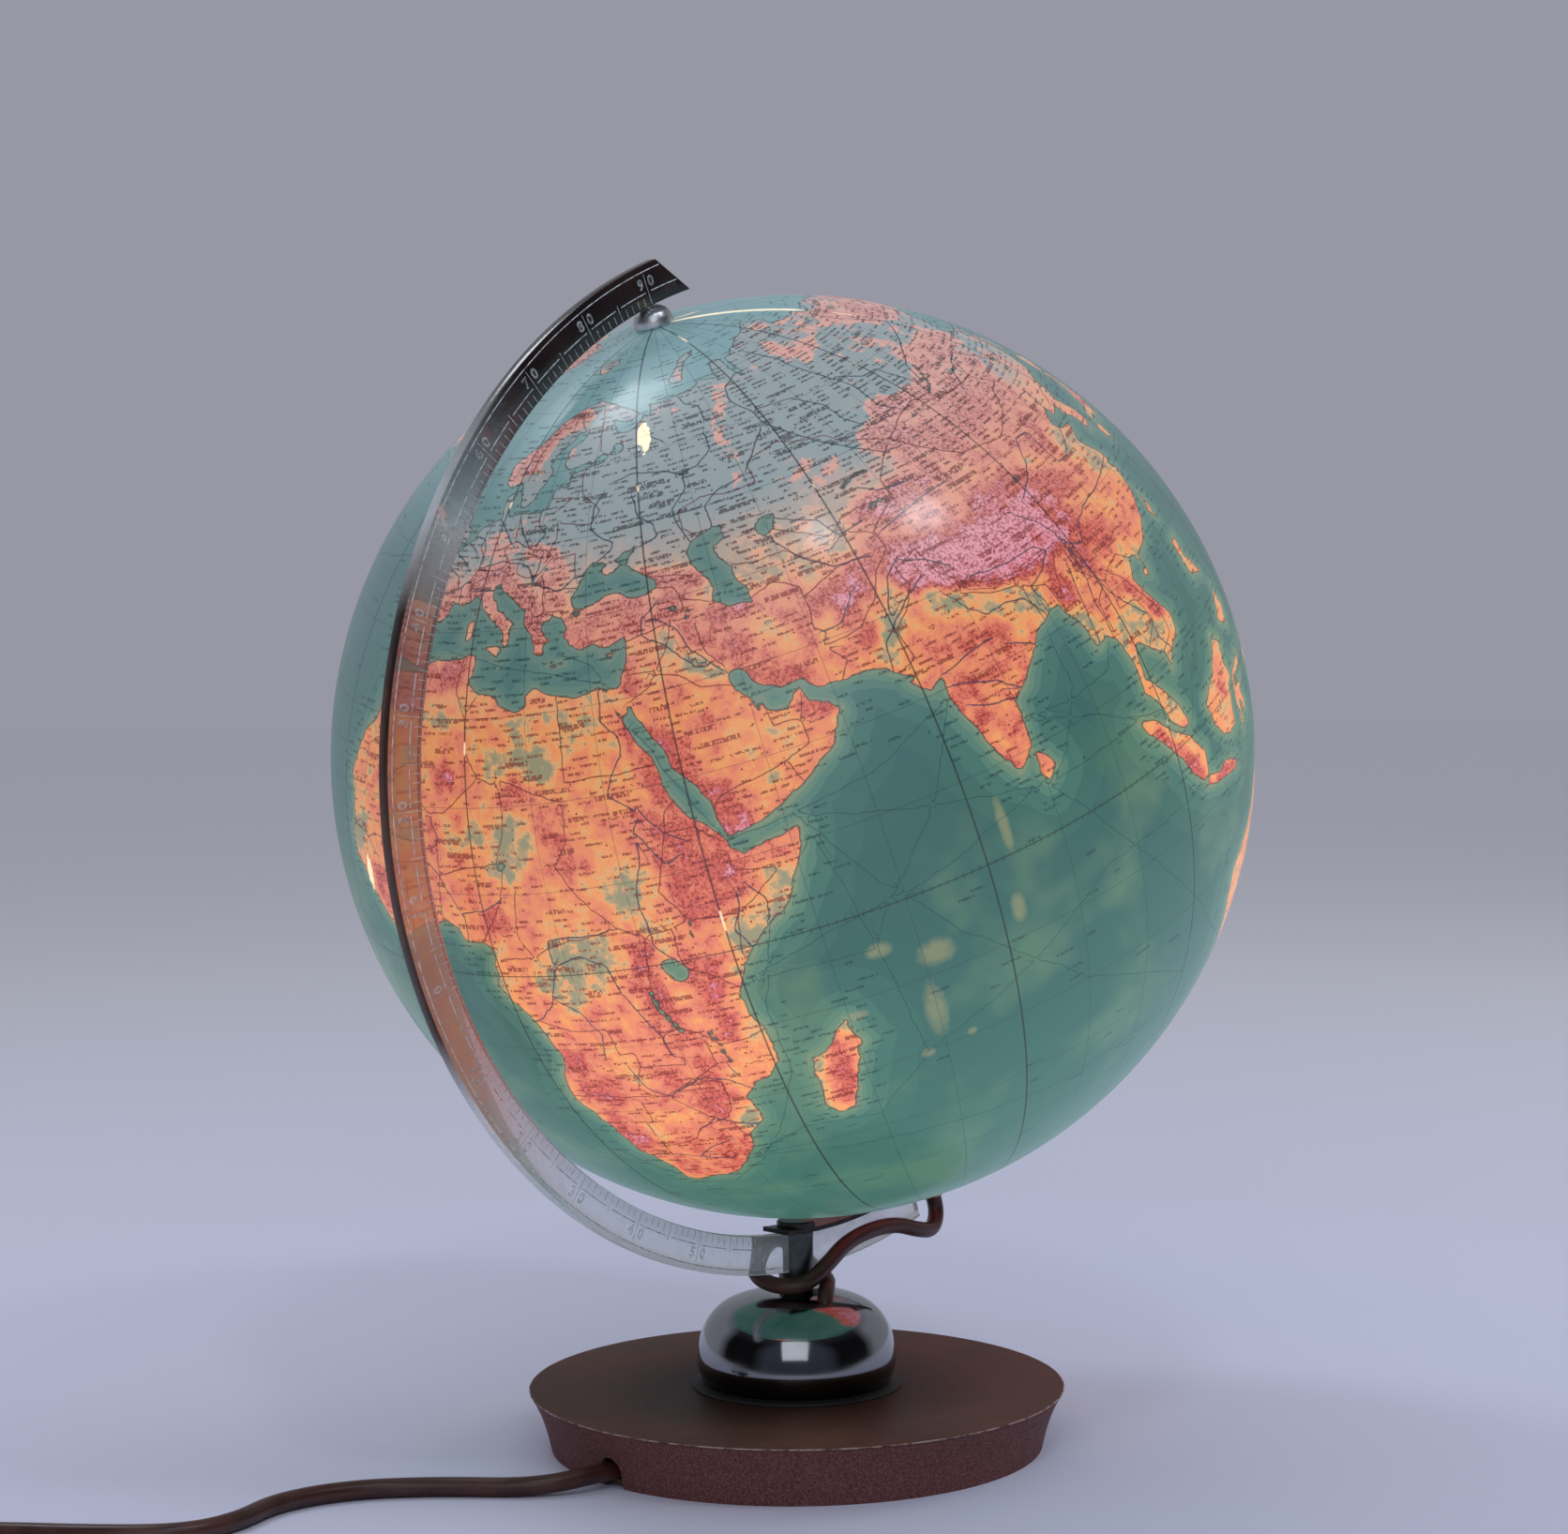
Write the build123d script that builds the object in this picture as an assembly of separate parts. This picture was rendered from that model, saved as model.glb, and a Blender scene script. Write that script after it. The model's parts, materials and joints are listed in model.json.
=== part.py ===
"""Illuminated desktop globe on a weighted foot, with its mains lead. Units are millimetres.

The origin is the centre of the foot's underside, +Z is up, and the flat meridian arm stands in
the XZ plane. The globe's axis leans towards -X. Each piece goes to its own STEP file in parts/.
"""
from build123d import *
import math
import os

# ---- driving dimensions ---------------------------------------------------------------------
tilt = 23.5             # lean of the globe's axis from the vertical, degrees
centre_h = 226.8        # height of the globe's centre over the table
globe_r = 150.0
shell_t = 1.5

arm_out_r = 169.5       # flat clear arm, its outer and inner edge
arm_in_r = 156.6
arm_t = 4.0
arm_south_end = -20.0   # degrees from straight down, positive towards -X
arm_north_out = 159.0   # the north end is cut at a slant: outer corner, inner corner
arm_north_in = 162.8

foot_top_r = 88.4
foot_low_r = 81.0
foot_h = 19.5
foot_t = 1.5

dome_z = 20.5           # underside of the chrome dome, on its gasket
dome_top = 50.8
dome_t = 1.0
dome_wide_r = 32.8

post_r = 5.7
rod_r = 4.0
tube_r = 5.0            # lamp tube, outside
tube_bore_r = 3.5
play = 0.05             # running clearance of the globe on its pin and on the lamp tube
slack = 0.1             # clearance between pieces that are screwed or glued together
over = 1.0              # how far a cutting shape reaches past what it cuts

lamp_lead_r = 2.7
mains_r = 3.0

# ---- frames ---------------------------------------------------------------------------------
lean = math.radians(tilt)
axis_up = Vector(-math.sin(lean), 0, math.cos(lean))
axis_side = Vector(math.cos(lean), 0, math.sin(lean))
centre = Vector(0, 0, centre_h)
globe_frame = Plane(origin=centre, x_dir=axis_side, z_dir=axis_up)


def on_arm(radius, degrees, y=0.0):
    """A point of the arm's plane: angle from straight down, positive towards -X."""
    a = math.radians(degrees)
    return Vector(-radius * math.sin(a), y, centre_h - radius * math.cos(a))


def on_axis(height):
    """A point on the globe's axis, height counted from the globe's centre to the north."""
    return centre + axis_up * height


def disc(radius, z0, z1, x=0.0, y=0.0):
    """An upright cylinder between two heights."""
    return Pos(x, y, (z0 + z1) / 2) * Cylinder(radius, z1 - z0)


def ring(r_out, r_in, z0, z1):
    return disc(r_out, z0, z1) - disc(r_in, z0 - over, z1 + over)


def block(x0, x1, y0, y1, z0, z1):
    size = Box(x1 - x0, y1 - y0, z1 - z0)
    return Pos((x0 + x1) / 2, (y0 + y1) / 2, (z0 + z1) / 2) * size


def hexagon(across_flats, z0, z1):
    flat = RegularPolygon(across_flats / 2, 6, major_radius=False)
    return Pos(0, 0, z0) * extrude(flat, z1 - z0)


def turned(points):
    """A solid of revolution about Z from (radius, height) corners."""
    outline = Polyline(*[(r, 0, z) for r, z in points], close=True)
    return revolve(make_face(outline), Axis.Z)


def lead_path(points, label=None):
    """Straight runs joined by tangent arcs, each as large as its two runs allow."""
    spots = [Vector(*p) for p in points]
    radii = []
    for before, here, after in zip(spots, spots[1:], spots[2:]):
        run_in = here - before
        run_out = after - here
        half_turn = math.radians(run_in.get_angle(run_out)) / 2
        radii.append(0.45 * min(run_in.length, run_out.length) / math.tan(half_turn))
    path = FilletPolyline(*spots, radius=radii)
    if label:
        print(f"{label}: length {path.length:.1f}, radii", [round(r, 1) for r in radii])
    return path


def pipe(points, radius, label):
    """A round lead along its route."""
    path = lead_path(points, label)
    solid = sweep((path ^ 0) * Circle(radius), path=path)
    ideal = math.pi * radius ** 2 * path.length
    print(f"{label}: volume / (section x length) = {solid.volume / ideal:.4f}")
    return solid


def wire(start, end, radius):
    """A straight insulated core between two points."""
    way = Line(start, end)
    return sweep((way ^ 0) * Circle(radius), path=way)


# ---- the foot -------------------------------------------------------------------------------
arch_half_w = 4.4       # opening in the foot's wall for the mains lead
arch_h = 10.0
arch_depth = 12.0       # reaches through the wall, either side of the foot's lower edge
lead_hole = (-6.0, -17.0)   # where the lamp lead goes down into the foot
lead_hole_r = 4.2
weight_r = 66.0
weight_z = (12.0, 17.9)
plate_z = (1.0, 2.2)
plate_gap = 0.5         # between the plate's rim and the foot's wall
plate_screw_r = 50.0
plate_screw_angles = (90, 210, 330)
screw_r = 1.95
head_r = 3.6
screw_tip_z = 15.5
felt_r = 76.0
profile_steps = 8


def foot_wall_r(z):
    """Outer radius of the foot's hollow-curved side at a height."""
    part = z / foot_h
    return foot_low_r + (foot_top_r - foot_low_r) * (0.62 * part + 0.38 * part ** 3)


def base_shell():
    inside_top = foot_h - foot_t
    steps = [i / profile_steps for i in range(profile_steps + 1)]
    outside = Spline(*[(foot_wall_r(foot_h * k), 0, foot_h * k) for k in steps])
    down = [inside_top * (1 - k) for k in steps]
    inner = Spline(*[(foot_wall_r(z) - foot_t, 0, z) for z in down])
    sides = [
        Line((0, 0, foot_h), outside @ 1),
        outside,
        Line(outside @ 0, inner @ 1),
        inner,
        Line(inner @ 0, (0, 0, inside_top)),
        Line((0, 0, inside_top), (0, 0, foot_h)),
    ]
    shell = revolve(make_face(Wire(sides)), Axis.Z)
    spring_z = arch_h - arch_half_w
    arch = block(-foot_top_r, arch_depth - foot_low_r, -arch_half_w, arch_half_w, -over, spring_z)
    crown = Pos(-foot_low_r, 0, spring_z) * Rot(0, 90, 0) * Cylinder(arch_half_w, 2 * arch_depth)
    shell -= arch + crown
    shell -= disc(rod_r + slack, inside_top - over, foot_h + over)
    shell -= disc(lead_hole_r, inside_top - over, foot_h + over, *lead_hole)
    return shell


def base_weight():
    weight = disc(weight_r, *weight_z)
    weight -= disc(rod_r + slack, weight_z[0] - over, weight_z[1] + over)
    weight -= disc(lead_hole_r, weight_z[0] - over, weight_z[1] + over, *lead_hole)
    for spot in plate_screw_spots():
        weight -= disc(screw_r + slack / 2, weight_z[0] - over, screw_tip_z + 0.5, *spot)
    return weight


def plate_screw_spots():
    angles = [math.radians(a) for a in plate_screw_angles]
    return [(plate_screw_r * math.cos(a), plate_screw_r * math.sin(a)) for a in angles]


def bottom_plate():
    plate = disc(foot_wall_r(plate_z[0]) - foot_t - plate_gap, *plate_z)
    for spot in plate_screw_spots():
        plate -= disc(screw_r + slack / 2, plate_z[0] - over, plate_z[1] + over, *spot)
    return plate


def base_felt():
    """Felt that covers the underside, with a hole over each screw."""
    felt = disc(felt_r, 0, plate_z[0])
    for spot in plate_screw_spots():
        felt -= disc(head_r + 0.6, -over, plate_z[0] + over, *spot)
    return felt


def plate_screws():
    screws = []
    for spot in plate_screw_spots():
        head = disc(head_r, slack, plate_z[0], *spot)
        screws.append(head + disc(screw_r, plate_z[0], screw_tip_z, *spot))
    return screws


# ---- the rod that clamps dome, foot and weight together --------------------------------------
rod_z = (4.6, 56.0)
washer_z = (10.4, 12.0)
nut_z = (5.2, 10.4)
washer_r = 11.0
nut_flats = 13.0
rod_chamfer = 0.5


def neck_rod():
    return chamfer(disc(rod_r, *rod_z).edges().filter_by(GeomType.CIRCLE), rod_chamfer)


def rod_washer():
    return ring(washer_r, rod_r + slack, *washer_z)


def rod_nut():
    return hexagon(nut_flats, *nut_z) - disc(rod_r + slack / 2, nut_z[0] - over, nut_z[1] + over)


# ---- chrome dome and neck post ---------------------------------------------------------------
dome_mouth_r = 30.4
dome_shape = [          # radius, and share of the dome's rise
    (dome_mouth_r, 0.0),
    (dome_wide_r, 0.30),
    (30.6, 0.62),
    (24.4, 0.85),
    (14.0, 0.975),
]
dome_flat_r = 6.0       # flat seat round the rod
dome_shoulder = 0.6     # share of the rise from which the wall's inside also drops
lead_gap = 0.6          # round the lamp lead, where it passes through the dome
gasket_r = (34.6, 29.0)
cap_screw_y = 3.9
cap_screw_r = 1.0
cap_screw_length = 7.5
grub_z = 61.0
grub_r = 1.5


def dome_curve(inset):
    """The dome's half outline, set in by the wall's thickness."""
    rise = dome_top - dome_z
    points = []
    for r, k in dome_shape:
        drop = inset if k > dome_shoulder else 0
        points.append((r - inset, 0, dome_z + rise * k - drop))
    return Spline(*points, (dome_flat_r, 0, dome_top - inset))


def dome_cover():
    outside = dome_curve(0)
    inside = dome_curve(dome_t)
    hole_r = rod_r + slack
    sides = [
        outside,
        Line(outside @ 1, (hole_r, 0, dome_top)),
        Line((hole_r, 0, dome_top), (hole_r, 0, dome_top - dome_t)),
        Line((hole_r, 0, dome_top - dome_t), inside @ 1),
        inside,
        Line(inside @ 0, outside @ 0),
    ]
    shell = revolve(make_face(Wire(sides)), Axis.Z)
    way_in = lead_path(lamp_route[15:19])       # the lamp lead goes through the dome's shoulder
    return shell - sweep((way_in ^ 0) * Circle(lamp_lead_r + lead_gap), path=way_in)


def dome_gasket():
    return ring(*gasket_r, foot_h, dome_z)


def neck_post():
    """Round post with a slot that grips the arm's lowest point."""
    top = centre_h - arm_in_r
    slot_floor = centre_h - arm_out_r - 2 * slack
    side = post_r + over
    cheek = (arm_t + slack) / 2
    post = disc(post_r, dome_top, top)
    post -= block(-side, side, -cheek, cheek, slot_floor, top + over)
    post -= disc(rod_r, dome_top - over, rod_z[1])
    for y in (-cap_screw_y, cap_screw_y):
        post -= disc(cap_screw_r + slack / 2, top - cap_screw_length - 0.5, top + over, 0, y)
    bore = Cylinder(grub_r + slack / 2, 2 * (post_r - arm_t / 2))
    return post - Pos(0, post_r, grub_z) * Rot(90, 0, 0) * bore


def grub_screw():
    """Set screw that presses the arm against the slot's other cheek, from the back."""
    y0 = arm_t / 2 + 0.02
    y1 = post_r - 0.4       # sunk a little below the post's surface
    return Pos(0, (y0 + y1) / 2, grub_z) * Rot(90, 0, 0) * Cylinder(grub_r, y1 - y0)


# ---- the arm, its strap and cap --------------------------------------------------------------
arm_corner_r = 1.2
arm_chamfer = 0.3
pin_r = 1.5
pin_ends = (143.0, 166.0)       # along the globe's axis, from its centre
strap_w = 12.0
strap_r = (154.9, 156.4)        # inner and outer face of the strap, along the arm's inner edge
strap_ends = (3.4, -27.0)       # degrees from straight down, positive towards -X
cap_r = 6.3
cap_z = (72.0, 74.0)
cap_skirt = 1.5
cap_bore_z = (60.0, 80.0)


def arm_outline():
    middle = (arm_south_end + arm_north_out) / 2
    up = [on_arm(arm_out_r, a) for a in (arm_south_end, middle, arm_north_out)]
    down = [on_arm(arm_in_r, a) for a in (arm_north_in, middle, arm_south_end)]
    outer = ThreePointArc(*up)
    inner = ThreePointArc(*down)
    return Wire([outer, Line(outer @ 1, inner @ 0), inner, Line(inner @ 1, outer @ 0)])


def meridian_arm():
    arm = extrude(make_face(arm_outline()), arm_t / 2, both=True)
    arm = fillet(arm.edges().filter_by(Axis.Y), arm_corner_r)
    arm = chamfer(arm.faces().filter_by(Axis.Y).edges(), arm_chamfer)
    return arm - globe_frame * disc(pin_r, arm_in_r - 2 * over, pin_ends[1] + slack)


def north_pin():
    """Steel pin pressed into the arm's edge; the globe's north hub turns on it."""
    return globe_frame * disc(pin_r, *pin_ends)


def lamp_strap():
    """Steel strip along the arm's inner edge, from the post to the lamp tube."""
    start, end = strap_ends
    middle = (start + end) / 2
    near = ThreePointArc(*[on_arm(strap_r[0], a, -strap_w / 2) for a in (start, middle, end)])
    far = ThreePointArc(*[on_arm(strap_r[1], a, -strap_w / 2) for a in (end, middle, start)])
    face = make_face(Wire([near, Line(near @ 1, far @ 0), far, Line(far @ 1, near @ 0)]))
    strap = extrude(face, strap_w, dir=(0, 1, 0))
    strap -= globe_frame * disc(tube_r + slack / 2, -strap_r[1] - over, -strap_r[0] + over)
    return strap - cap_screw_bores()


def cap_screw_bores():
    """Holes for the cap's screws, through the strap and the cap."""
    bores = [disc(cap_screw_r + slack / 2, *cap_bore_z, 0, y) for y in (-cap_screw_y, cap_screw_y)]
    return bores[0] + bores[1]


def strap_cap():
    """Round cap over the post, with its underside hollowed to sit on the strap."""
    cap = disc(cap_r, cap_z[0] - cap_skirt, cap_z[1])
    cap = chamfer(cap.faces().sort_by(Axis.Z)[-1].edges(), 0.5)
    width = 6 * cap_r
    below = Cylinder(strap_r[1] + width, width) - Cylinder(strap_r[0] - slack / 2, width)
    cap -= Pos(0, 0, centre_h) * Rot(90, 0, 0) * below
    return cap - cap_screw_bores()


def cap_screws():
    tip = centre_h - arm_in_r - cap_screw_length
    return [disc(cap_screw_r, tip, cap_z[1], 0, y) for y in (-cap_screw_y, cap_screw_y)]


# ---- lamp tube, holder and bulb, along the globe's axis ---------------------------------------
core_r = 0.9            # one insulated core, and half the distance between the two
core_gap = 1.25
tube_ends = (-166.0, -44.0)
tube_nut_flats = 13.5
tube_nut_t = (2.6, 2.4)         # below and above the strap
tube_nut_gap = 0.25
holder_ends = (-49.0, -14.0)
holder_r = 13.5
holder_foot_r = 9.0
holder_taper = 7.0
holder_lip = 1.5
holder_floor = 11.0
sleeve_r = (7.9, 7.2)
bulb_r = 15.0
bulb_t = 0.8
stem_r = 2.2
stem_h = 12.0
cap_length = 22.0
bulb_foot = 35.3        # where the glass begins, over the holder's lower end


def lamp_tube():
    return globe_frame * ring(tube_r, tube_bore_r, *tube_ends)


def tube_nuts():
    """Thin hexagon nuts either side of the strap."""
    low = -strap_r[1] - tube_nut_gap
    high = -strap_r[0] + tube_nut_gap
    outer = hexagon(tube_nut_flats, low - tube_nut_t[0], low)
    inner = hexagon(tube_nut_flats, high, high + tube_nut_t[1])
    hole = disc(tube_r + slack / 2, low - tube_nut_flats, high + tube_nut_flats)
    return [globe_frame * (nut - hole) for nut in (outer, inner)]


def lamp_holder():
    z0, z1 = holder_ends
    body = turned([
        (0, z0),
        (holder_foot_r, z0),
        (holder_r, z0 + holder_taper),
        (holder_r, z1 - 2 * holder_lip),
        (holder_r - holder_lip, z1),
        (0, z1),
    ])
    body -= disc(sleeve_r[0] + slack, z0 + holder_floor, z1 + over)
    body -= disc(tube_r + slack / 2, z0 - over, tube_ends[1] + slack)
    body -= disc(tube_bore_r, z0 - over, z0 + holder_taper)
    for x in (-core_gap, core_gap):
        body -= disc(core_r + slack, z0, z0 + holder_taper + over, x)
    return globe_frame * body


def holder_sleeve():
    """Threaded brass sleeve that the bulb's cap screws into."""
    return globe_frame * ring(*sleeve_r, holder_ends[0] + holder_floor + 2.5, holder_ends[1] - 1)


def holder_contact():
    """Sprung centre contact on the holder's floor."""
    z = holder_ends[0] + holder_floor
    outline = [(0, 0), (5.5, 0), (5.5, 0.6), (2, 0.6), (2, 2), (0, 2)]
    return globe_frame * turned([(r, z + h) for r, h in outline])


def bulb_cap():
    z = holder_ends[0] + holder_floor + 2.2
    outline = [(0, 0), (3, 0), (6.9, 3), (6.9, cap_length), (0, cap_length)]
    return globe_frame * turned([(r, z + h) for r, h in outline])


def bulb_glass():
    """Round opal bulb: a globe drawn into a neck."""
    z = holder_ends[0] + bulb_foot
    shape = [(6.6, 0), (8.0, 8), (bulb_r, 24)]
    ends = [(0, 0, 1), (-1, 0, 0)]
    outer = [(r, 0, z + h) for r, h in shape] + [(10.0, 0, z + 36), (0, 0, z + 40)]
    inner = [(r - bulb_t, 0, z + h) for r, h in shape]
    inner += [(9.4, 0, z + 36 - bulb_t), (0, 0, z + 40 - bulb_t)]
    outline = Spline(*outer, tangents=ends)
    inline = Spline(*inner, tangents=ends)
    rim = Line(inline @ 0, outline @ 0)
    crown = Line(outline @ 1, inline @ 1)
    return globe_frame * revolve(make_face(Wire([outline, crown, inline, rim])), Axis.Z)


def bulb_filament():
    """Glass stem with the filament's arc and its two supports."""
    z = holder_ends[0] + bulb_foot + slack
    stem = disc(stem_r, z, z + stem_h)
    tip_z = z + 2 * stem_h
    supports = [wire((x, 0, z + stem_h - over), (3 * x, 0, tip_z), 0.3) for x in (-2, 2)]
    arc = ThreePointArc((-6, 0, tip_z), (0, 0, tip_z + 2), (6, 0, tip_z))
    coil = sweep((arc ^ 0) * Circle(0.5), path=arc)
    whole = stem + supports[0] + supports[1] + coil
    return globe_frame * whole


# ---- the globe -------------------------------------------------------------------------------
north_hole_r = 3.2
south_hole_r = 8.0
hub_r = 6.5
hub_top = 156.1
hub_nut_flats = 11.0
bush_flange_r = 10.5
bush_length = 8.5
bush_nut_flats = 20.0
band_t = 1.2
band_half_w = 6.0
seam_gap = 0.25         # glue between the band and the shell, and the hub's play


def half_shell(north):
    """A hollow half ball, open at its pole and flat at the equator."""
    inner_r = globe_r - shell_t
    pole_r = north_hole_r if north else south_hole_r
    sign = 1 if north else -1
    mid = math.sqrt(0.5)
    top_out = (pole_r, 0, sign * math.sqrt(globe_r ** 2 - pole_r ** 2))
    top_in = (pole_r, 0, sign * math.sqrt(inner_r ** 2 - pole_r ** 2))
    mid_out = (globe_r * mid, 0, sign * globe_r * mid)
    mid_in = (inner_r * mid, 0, sign * inner_r * mid)
    outside = ThreePointArc((globe_r, 0, 0), mid_out, top_out)
    inside = ThreePointArc(top_in, mid_in, (inner_r, 0, 0))
    seam = Line((inner_r, 0, 0), (globe_r, 0, 0))
    outline = Wire([outside, Line(top_out, top_in), inside, seam])
    return globe_frame * revolve(make_face(outline), Axis.Z)


def equator_band():
    """Strip glued inside the joint of the two halves."""
    band_r = globe_r - shell_t - seam_gap
    return globe_frame * ring(band_r, band_r - band_t, -band_half_w, band_half_w)


def north_hub():
    """Chrome knob on the pole, with a spigot through the shell and a bore for the pin."""
    seat = globe_r + 0.05
    knob = turned([(0, seat), (hub_r - 0.6, seat), (hub_r, seat + 0.8), (hub_r, seat + 3.2),
                   (hub_r - 1.8, hub_top - 0.4), (hub_r - 3.2, hub_top), (0, hub_top)])
    spigot = disc(north_hole_r - slack, globe_r - 6.5, seat)
    return globe_frame * (knob + spigot - disc(pin_r + play, globe_r - 8, hub_top + over))


def north_hub_nut():
    z1 = globe_r - shell_t - 0.3
    bore = disc(north_hole_r - slack / 2, z1 - 4, z1 + over)
    return globe_frame * (hexagon(hub_nut_flats, z1 - 3, z1) - bore)


def south_bush():
    """Flanged brass bush that lets the globe turn about the lamp tube."""
    flange = disc(bush_flange_r, -globe_r - 1.6, -globe_r - 0.3)
    body = disc(south_hole_r - slack, -globe_r - 0.3, -globe_r + bush_length)
    bore = disc(tube_r + play, -globe_r - bush_length, -globe_r + bush_length + over)
    return globe_frame * (flange + body - bore)


def south_bush_nut():
    z0 = -globe_r + shell_t + 0.6
    bore = disc(south_hole_r - slack / 2, z0 - over, z0 + 5)
    return globe_frame * (hexagon(bush_nut_flats, z0, z0 + 3.5) - bore)


# ---- wiring inside the foot -------------------------------------------------------------------
block_box = (-40.0, -26.0, -9.0, 9.0, 3.4, 11.9)
terminal_y = (-4.5, 4.5)
terminal_z = 6.4
terminal_mid_x = -33.0
terminal_screw_x = (-36.5, -29.5)
mains_entry_z = 5.4


def terminal_block():
    body = block(*block_box)
    for y in terminal_y:
        body -= Pos(terminal_mid_x, y, terminal_z) * Rot(0, 90, 0) * Cylinder(1.6, 20)
        for x in terminal_screw_x:
            body -= disc(1.5, 2, terminal_z, x, y)
    return body


def terminal_screws():
    spots = [(x, y) for x in terminal_screw_x for y in terminal_y]
    return [disc(1.4, 3.2, 5.4, *spot) for spot in spots]


clamp_box = (-76.5, -70.5, -8.5, 8.5, 2.25, 10.6)
clamp_mid_x = -73.5
clamp_screw_y = 6.2
clamp_screw_r = 1.25
clamp_head_r = 2.2


def cord_clamp():
    """Saddle over the mains lead, just inside the foot's wall."""
    saddle = block(*clamp_box)
    groove = Cylinder(mains_r + 0.4, 10)
    saddle -= Pos(clamp_mid_x, 0.1, mains_entry_z) * Rot(0, 90, 0) * groove
    for y in (-clamp_screw_y, clamp_screw_y):
        saddle -= disc(clamp_screw_r + slack / 2, 0, clamp_box[5] + over, clamp_mid_x, y)
    return saddle


def clamp_screws():
    top = clamp_box[5]
    screws = []
    for y in (-clamp_screw_y, clamp_screw_y):
        shank = disc(clamp_screw_r, plate_z[1] + slack, top, clamp_mid_x, y)
        screws.append(shank + disc(clamp_head_r, top, top + 1, clamp_mid_x, y))
    return screws


def mains_cores():
    x = mains_route[0][0] + 0.05
    cores = []
    for side, y in zip((-1, 1), terminal_y):
        start = (x, side * core_gap, mains_entry_z)
        cores.append(wire(start, (terminal_screw_x[0], y, terminal_z), core_r))
    return cores


def lamp_cores_foot():
    x, y, z = lamp_route[-1]
    cores = []
    for side, far_y in zip((-1, 1), terminal_y):
        start = (x, y + side * core_gap, z)
        cores.append(wire(start, (terminal_screw_x[1], far_y, terminal_z), core_r))
    return cores


def lamp_cores():
    """The two cores inside the lamp tube, from the lead's sheath to the holder."""
    top = holder_ends[0] + holder_taper + 0.5
    bottom = -(lamp_route_start - 0.05)
    return [globe_frame * disc(core_r, bottom, top, x) for x in (-core_gap, core_gap)]


# ---- the lamp lead: pole, arm's front face, a half hitch round the post, into the dome ---------
lamp_route_start = 156.0
south_spot = on_axis(-lamp_route_start)
lamp_route = [
    (south_spot.X, 0, south_spot.Z),
    (67.2, 0, 72.7),
    (67.3, -1.0, 66.3),
    (62.5, -3.2, 62.4),
    (54.0, -5.4, 63.8),
    (39.0, -6.2, 68.4),
    (18.0, -7.2, 66.2),
    (3.5, -10.4, 59.4),
    (-6.0, -10.6, 54.4),
    (-12.4, -3.4, 53.8),
    (-13.2, 6.4, 56.4),
    (-9.0, 10.8, 62.8),
    (0.5, 11.2, 66.0),
    (9.6, 9.8, 61.4),
    (12.2, 2.6, 54.4),
    (8.4, -6.4, 53.9),
    (1.6, -12.8, 53.2),
    (-3.2, -16.4, 48.6),
    (-3.6, -16.6, 34.0),
    (-6.2, -17.2, 16.0),
    (-10.0, -12.6, 7.2),
    (-16.0, -7.5, 7.0),
]


def lamp_lead():
    return pipe(lamp_route, lamp_lead_r, "lamp lead")


# ---- the mains lead: out of the foot, over the table, into a coil with the plug beside it ------
floor_z = mains_r + 0.02
mains_route = [
    (-56.0, 0.0, mains_entry_z),
    (-85.0, 0.3, 5.5),
    (-106.0, 9.0, floor_z),
    (-124.0, 31.0, floor_z),
    (-146.0, 49.0, floor_z),
    (-172.0, 54.0, floor_z),
    (-194.0, 44.0, floor_z),
    (-213.0, 45.0, floor_z),
    (-232.0, 64.0, floor_z),
    (-252.0, 90.0, floor_z),
    (-276.0, 110.0, floor_z),
]
coil_centre = (-306.0, 87.0)
coil_in_r = 23.0
coil_out_r = 41.0
coil_h = 17.6
tail_route = [
    (-269.2, 97.0, 14.2),
    (-274.5, 117.0, 12.6),
    (-284.0, 134.0, 8.8),
    (-297.0, 148.0, 7.2),
]


def mains_lead():
    return pipe(mains_route, mains_r, "mains lead")


def mains_lead_coil():
    coil = disc(coil_out_r, 0, coil_h, *coil_centre)
    coil -= disc(coil_in_r, -over, coil_h + over, *coil_centre)
    return fillet(coil.edges().filter_by(GeomType.CIRCLE), mains_r)


def mains_lead_tail():
    return pipe(tail_route, mains_r, "tail to the plug")


plug_z = 7.2
plug_length = 34.0
plug_face_w = 35.0
plug_t = 13.6
plug_neck_w = 10.0
plug_shoulder = (7.0, 18.0)     # where the neck ends and the body is full width
plug_chamfer = 1.6
pin_radius = 2.0
pin_tip = 1.5
pin_gap = 18.6
pin_len = 19.0
plug_way = Vector(-13.0, 14.0, 0)
plug_frame = Plane(origin=(tail_route[-1][0], tail_route[-1][1], plug_z), x_dir=plug_way, z_dir=(0, 0, 1))


def plug_body():
    """Flat two-pin plug moulded on the lead: it widens from the lead to its face."""
    half = plug_face_w / 2
    neck = plug_neck_w / 2
    near, far = plug_shoulder
    side = [(0, neck - 0.5), (near, neck), (far, half), (plug_length, half)]
    other_side = [(x, -y) for x, y in reversed(side)]
    outline = Polyline(*side, *other_side, close=True)
    body = extrude(make_face(outline), plug_t / 2, both=True)
    body = chamfer(body.faces().filter_by(Axis.Z).edges(), plug_chamfer)
    return plug_frame * body


def plug_pins():
    pins = []
    for y in (-pin_gap / 2, pin_gap / 2):
        pin = Pos(plug_length + pin_len / 2, y, 0) * Rot(0, 90, 0) * Cylinder(pin_radius, pin_len)
        tip = pin.edges().filter_by(GeomType.CIRCLE).sort_by(Axis.X)[-1]
        pins.append(plug_frame * fillet(tip, pin_tip))
    return pins


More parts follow.
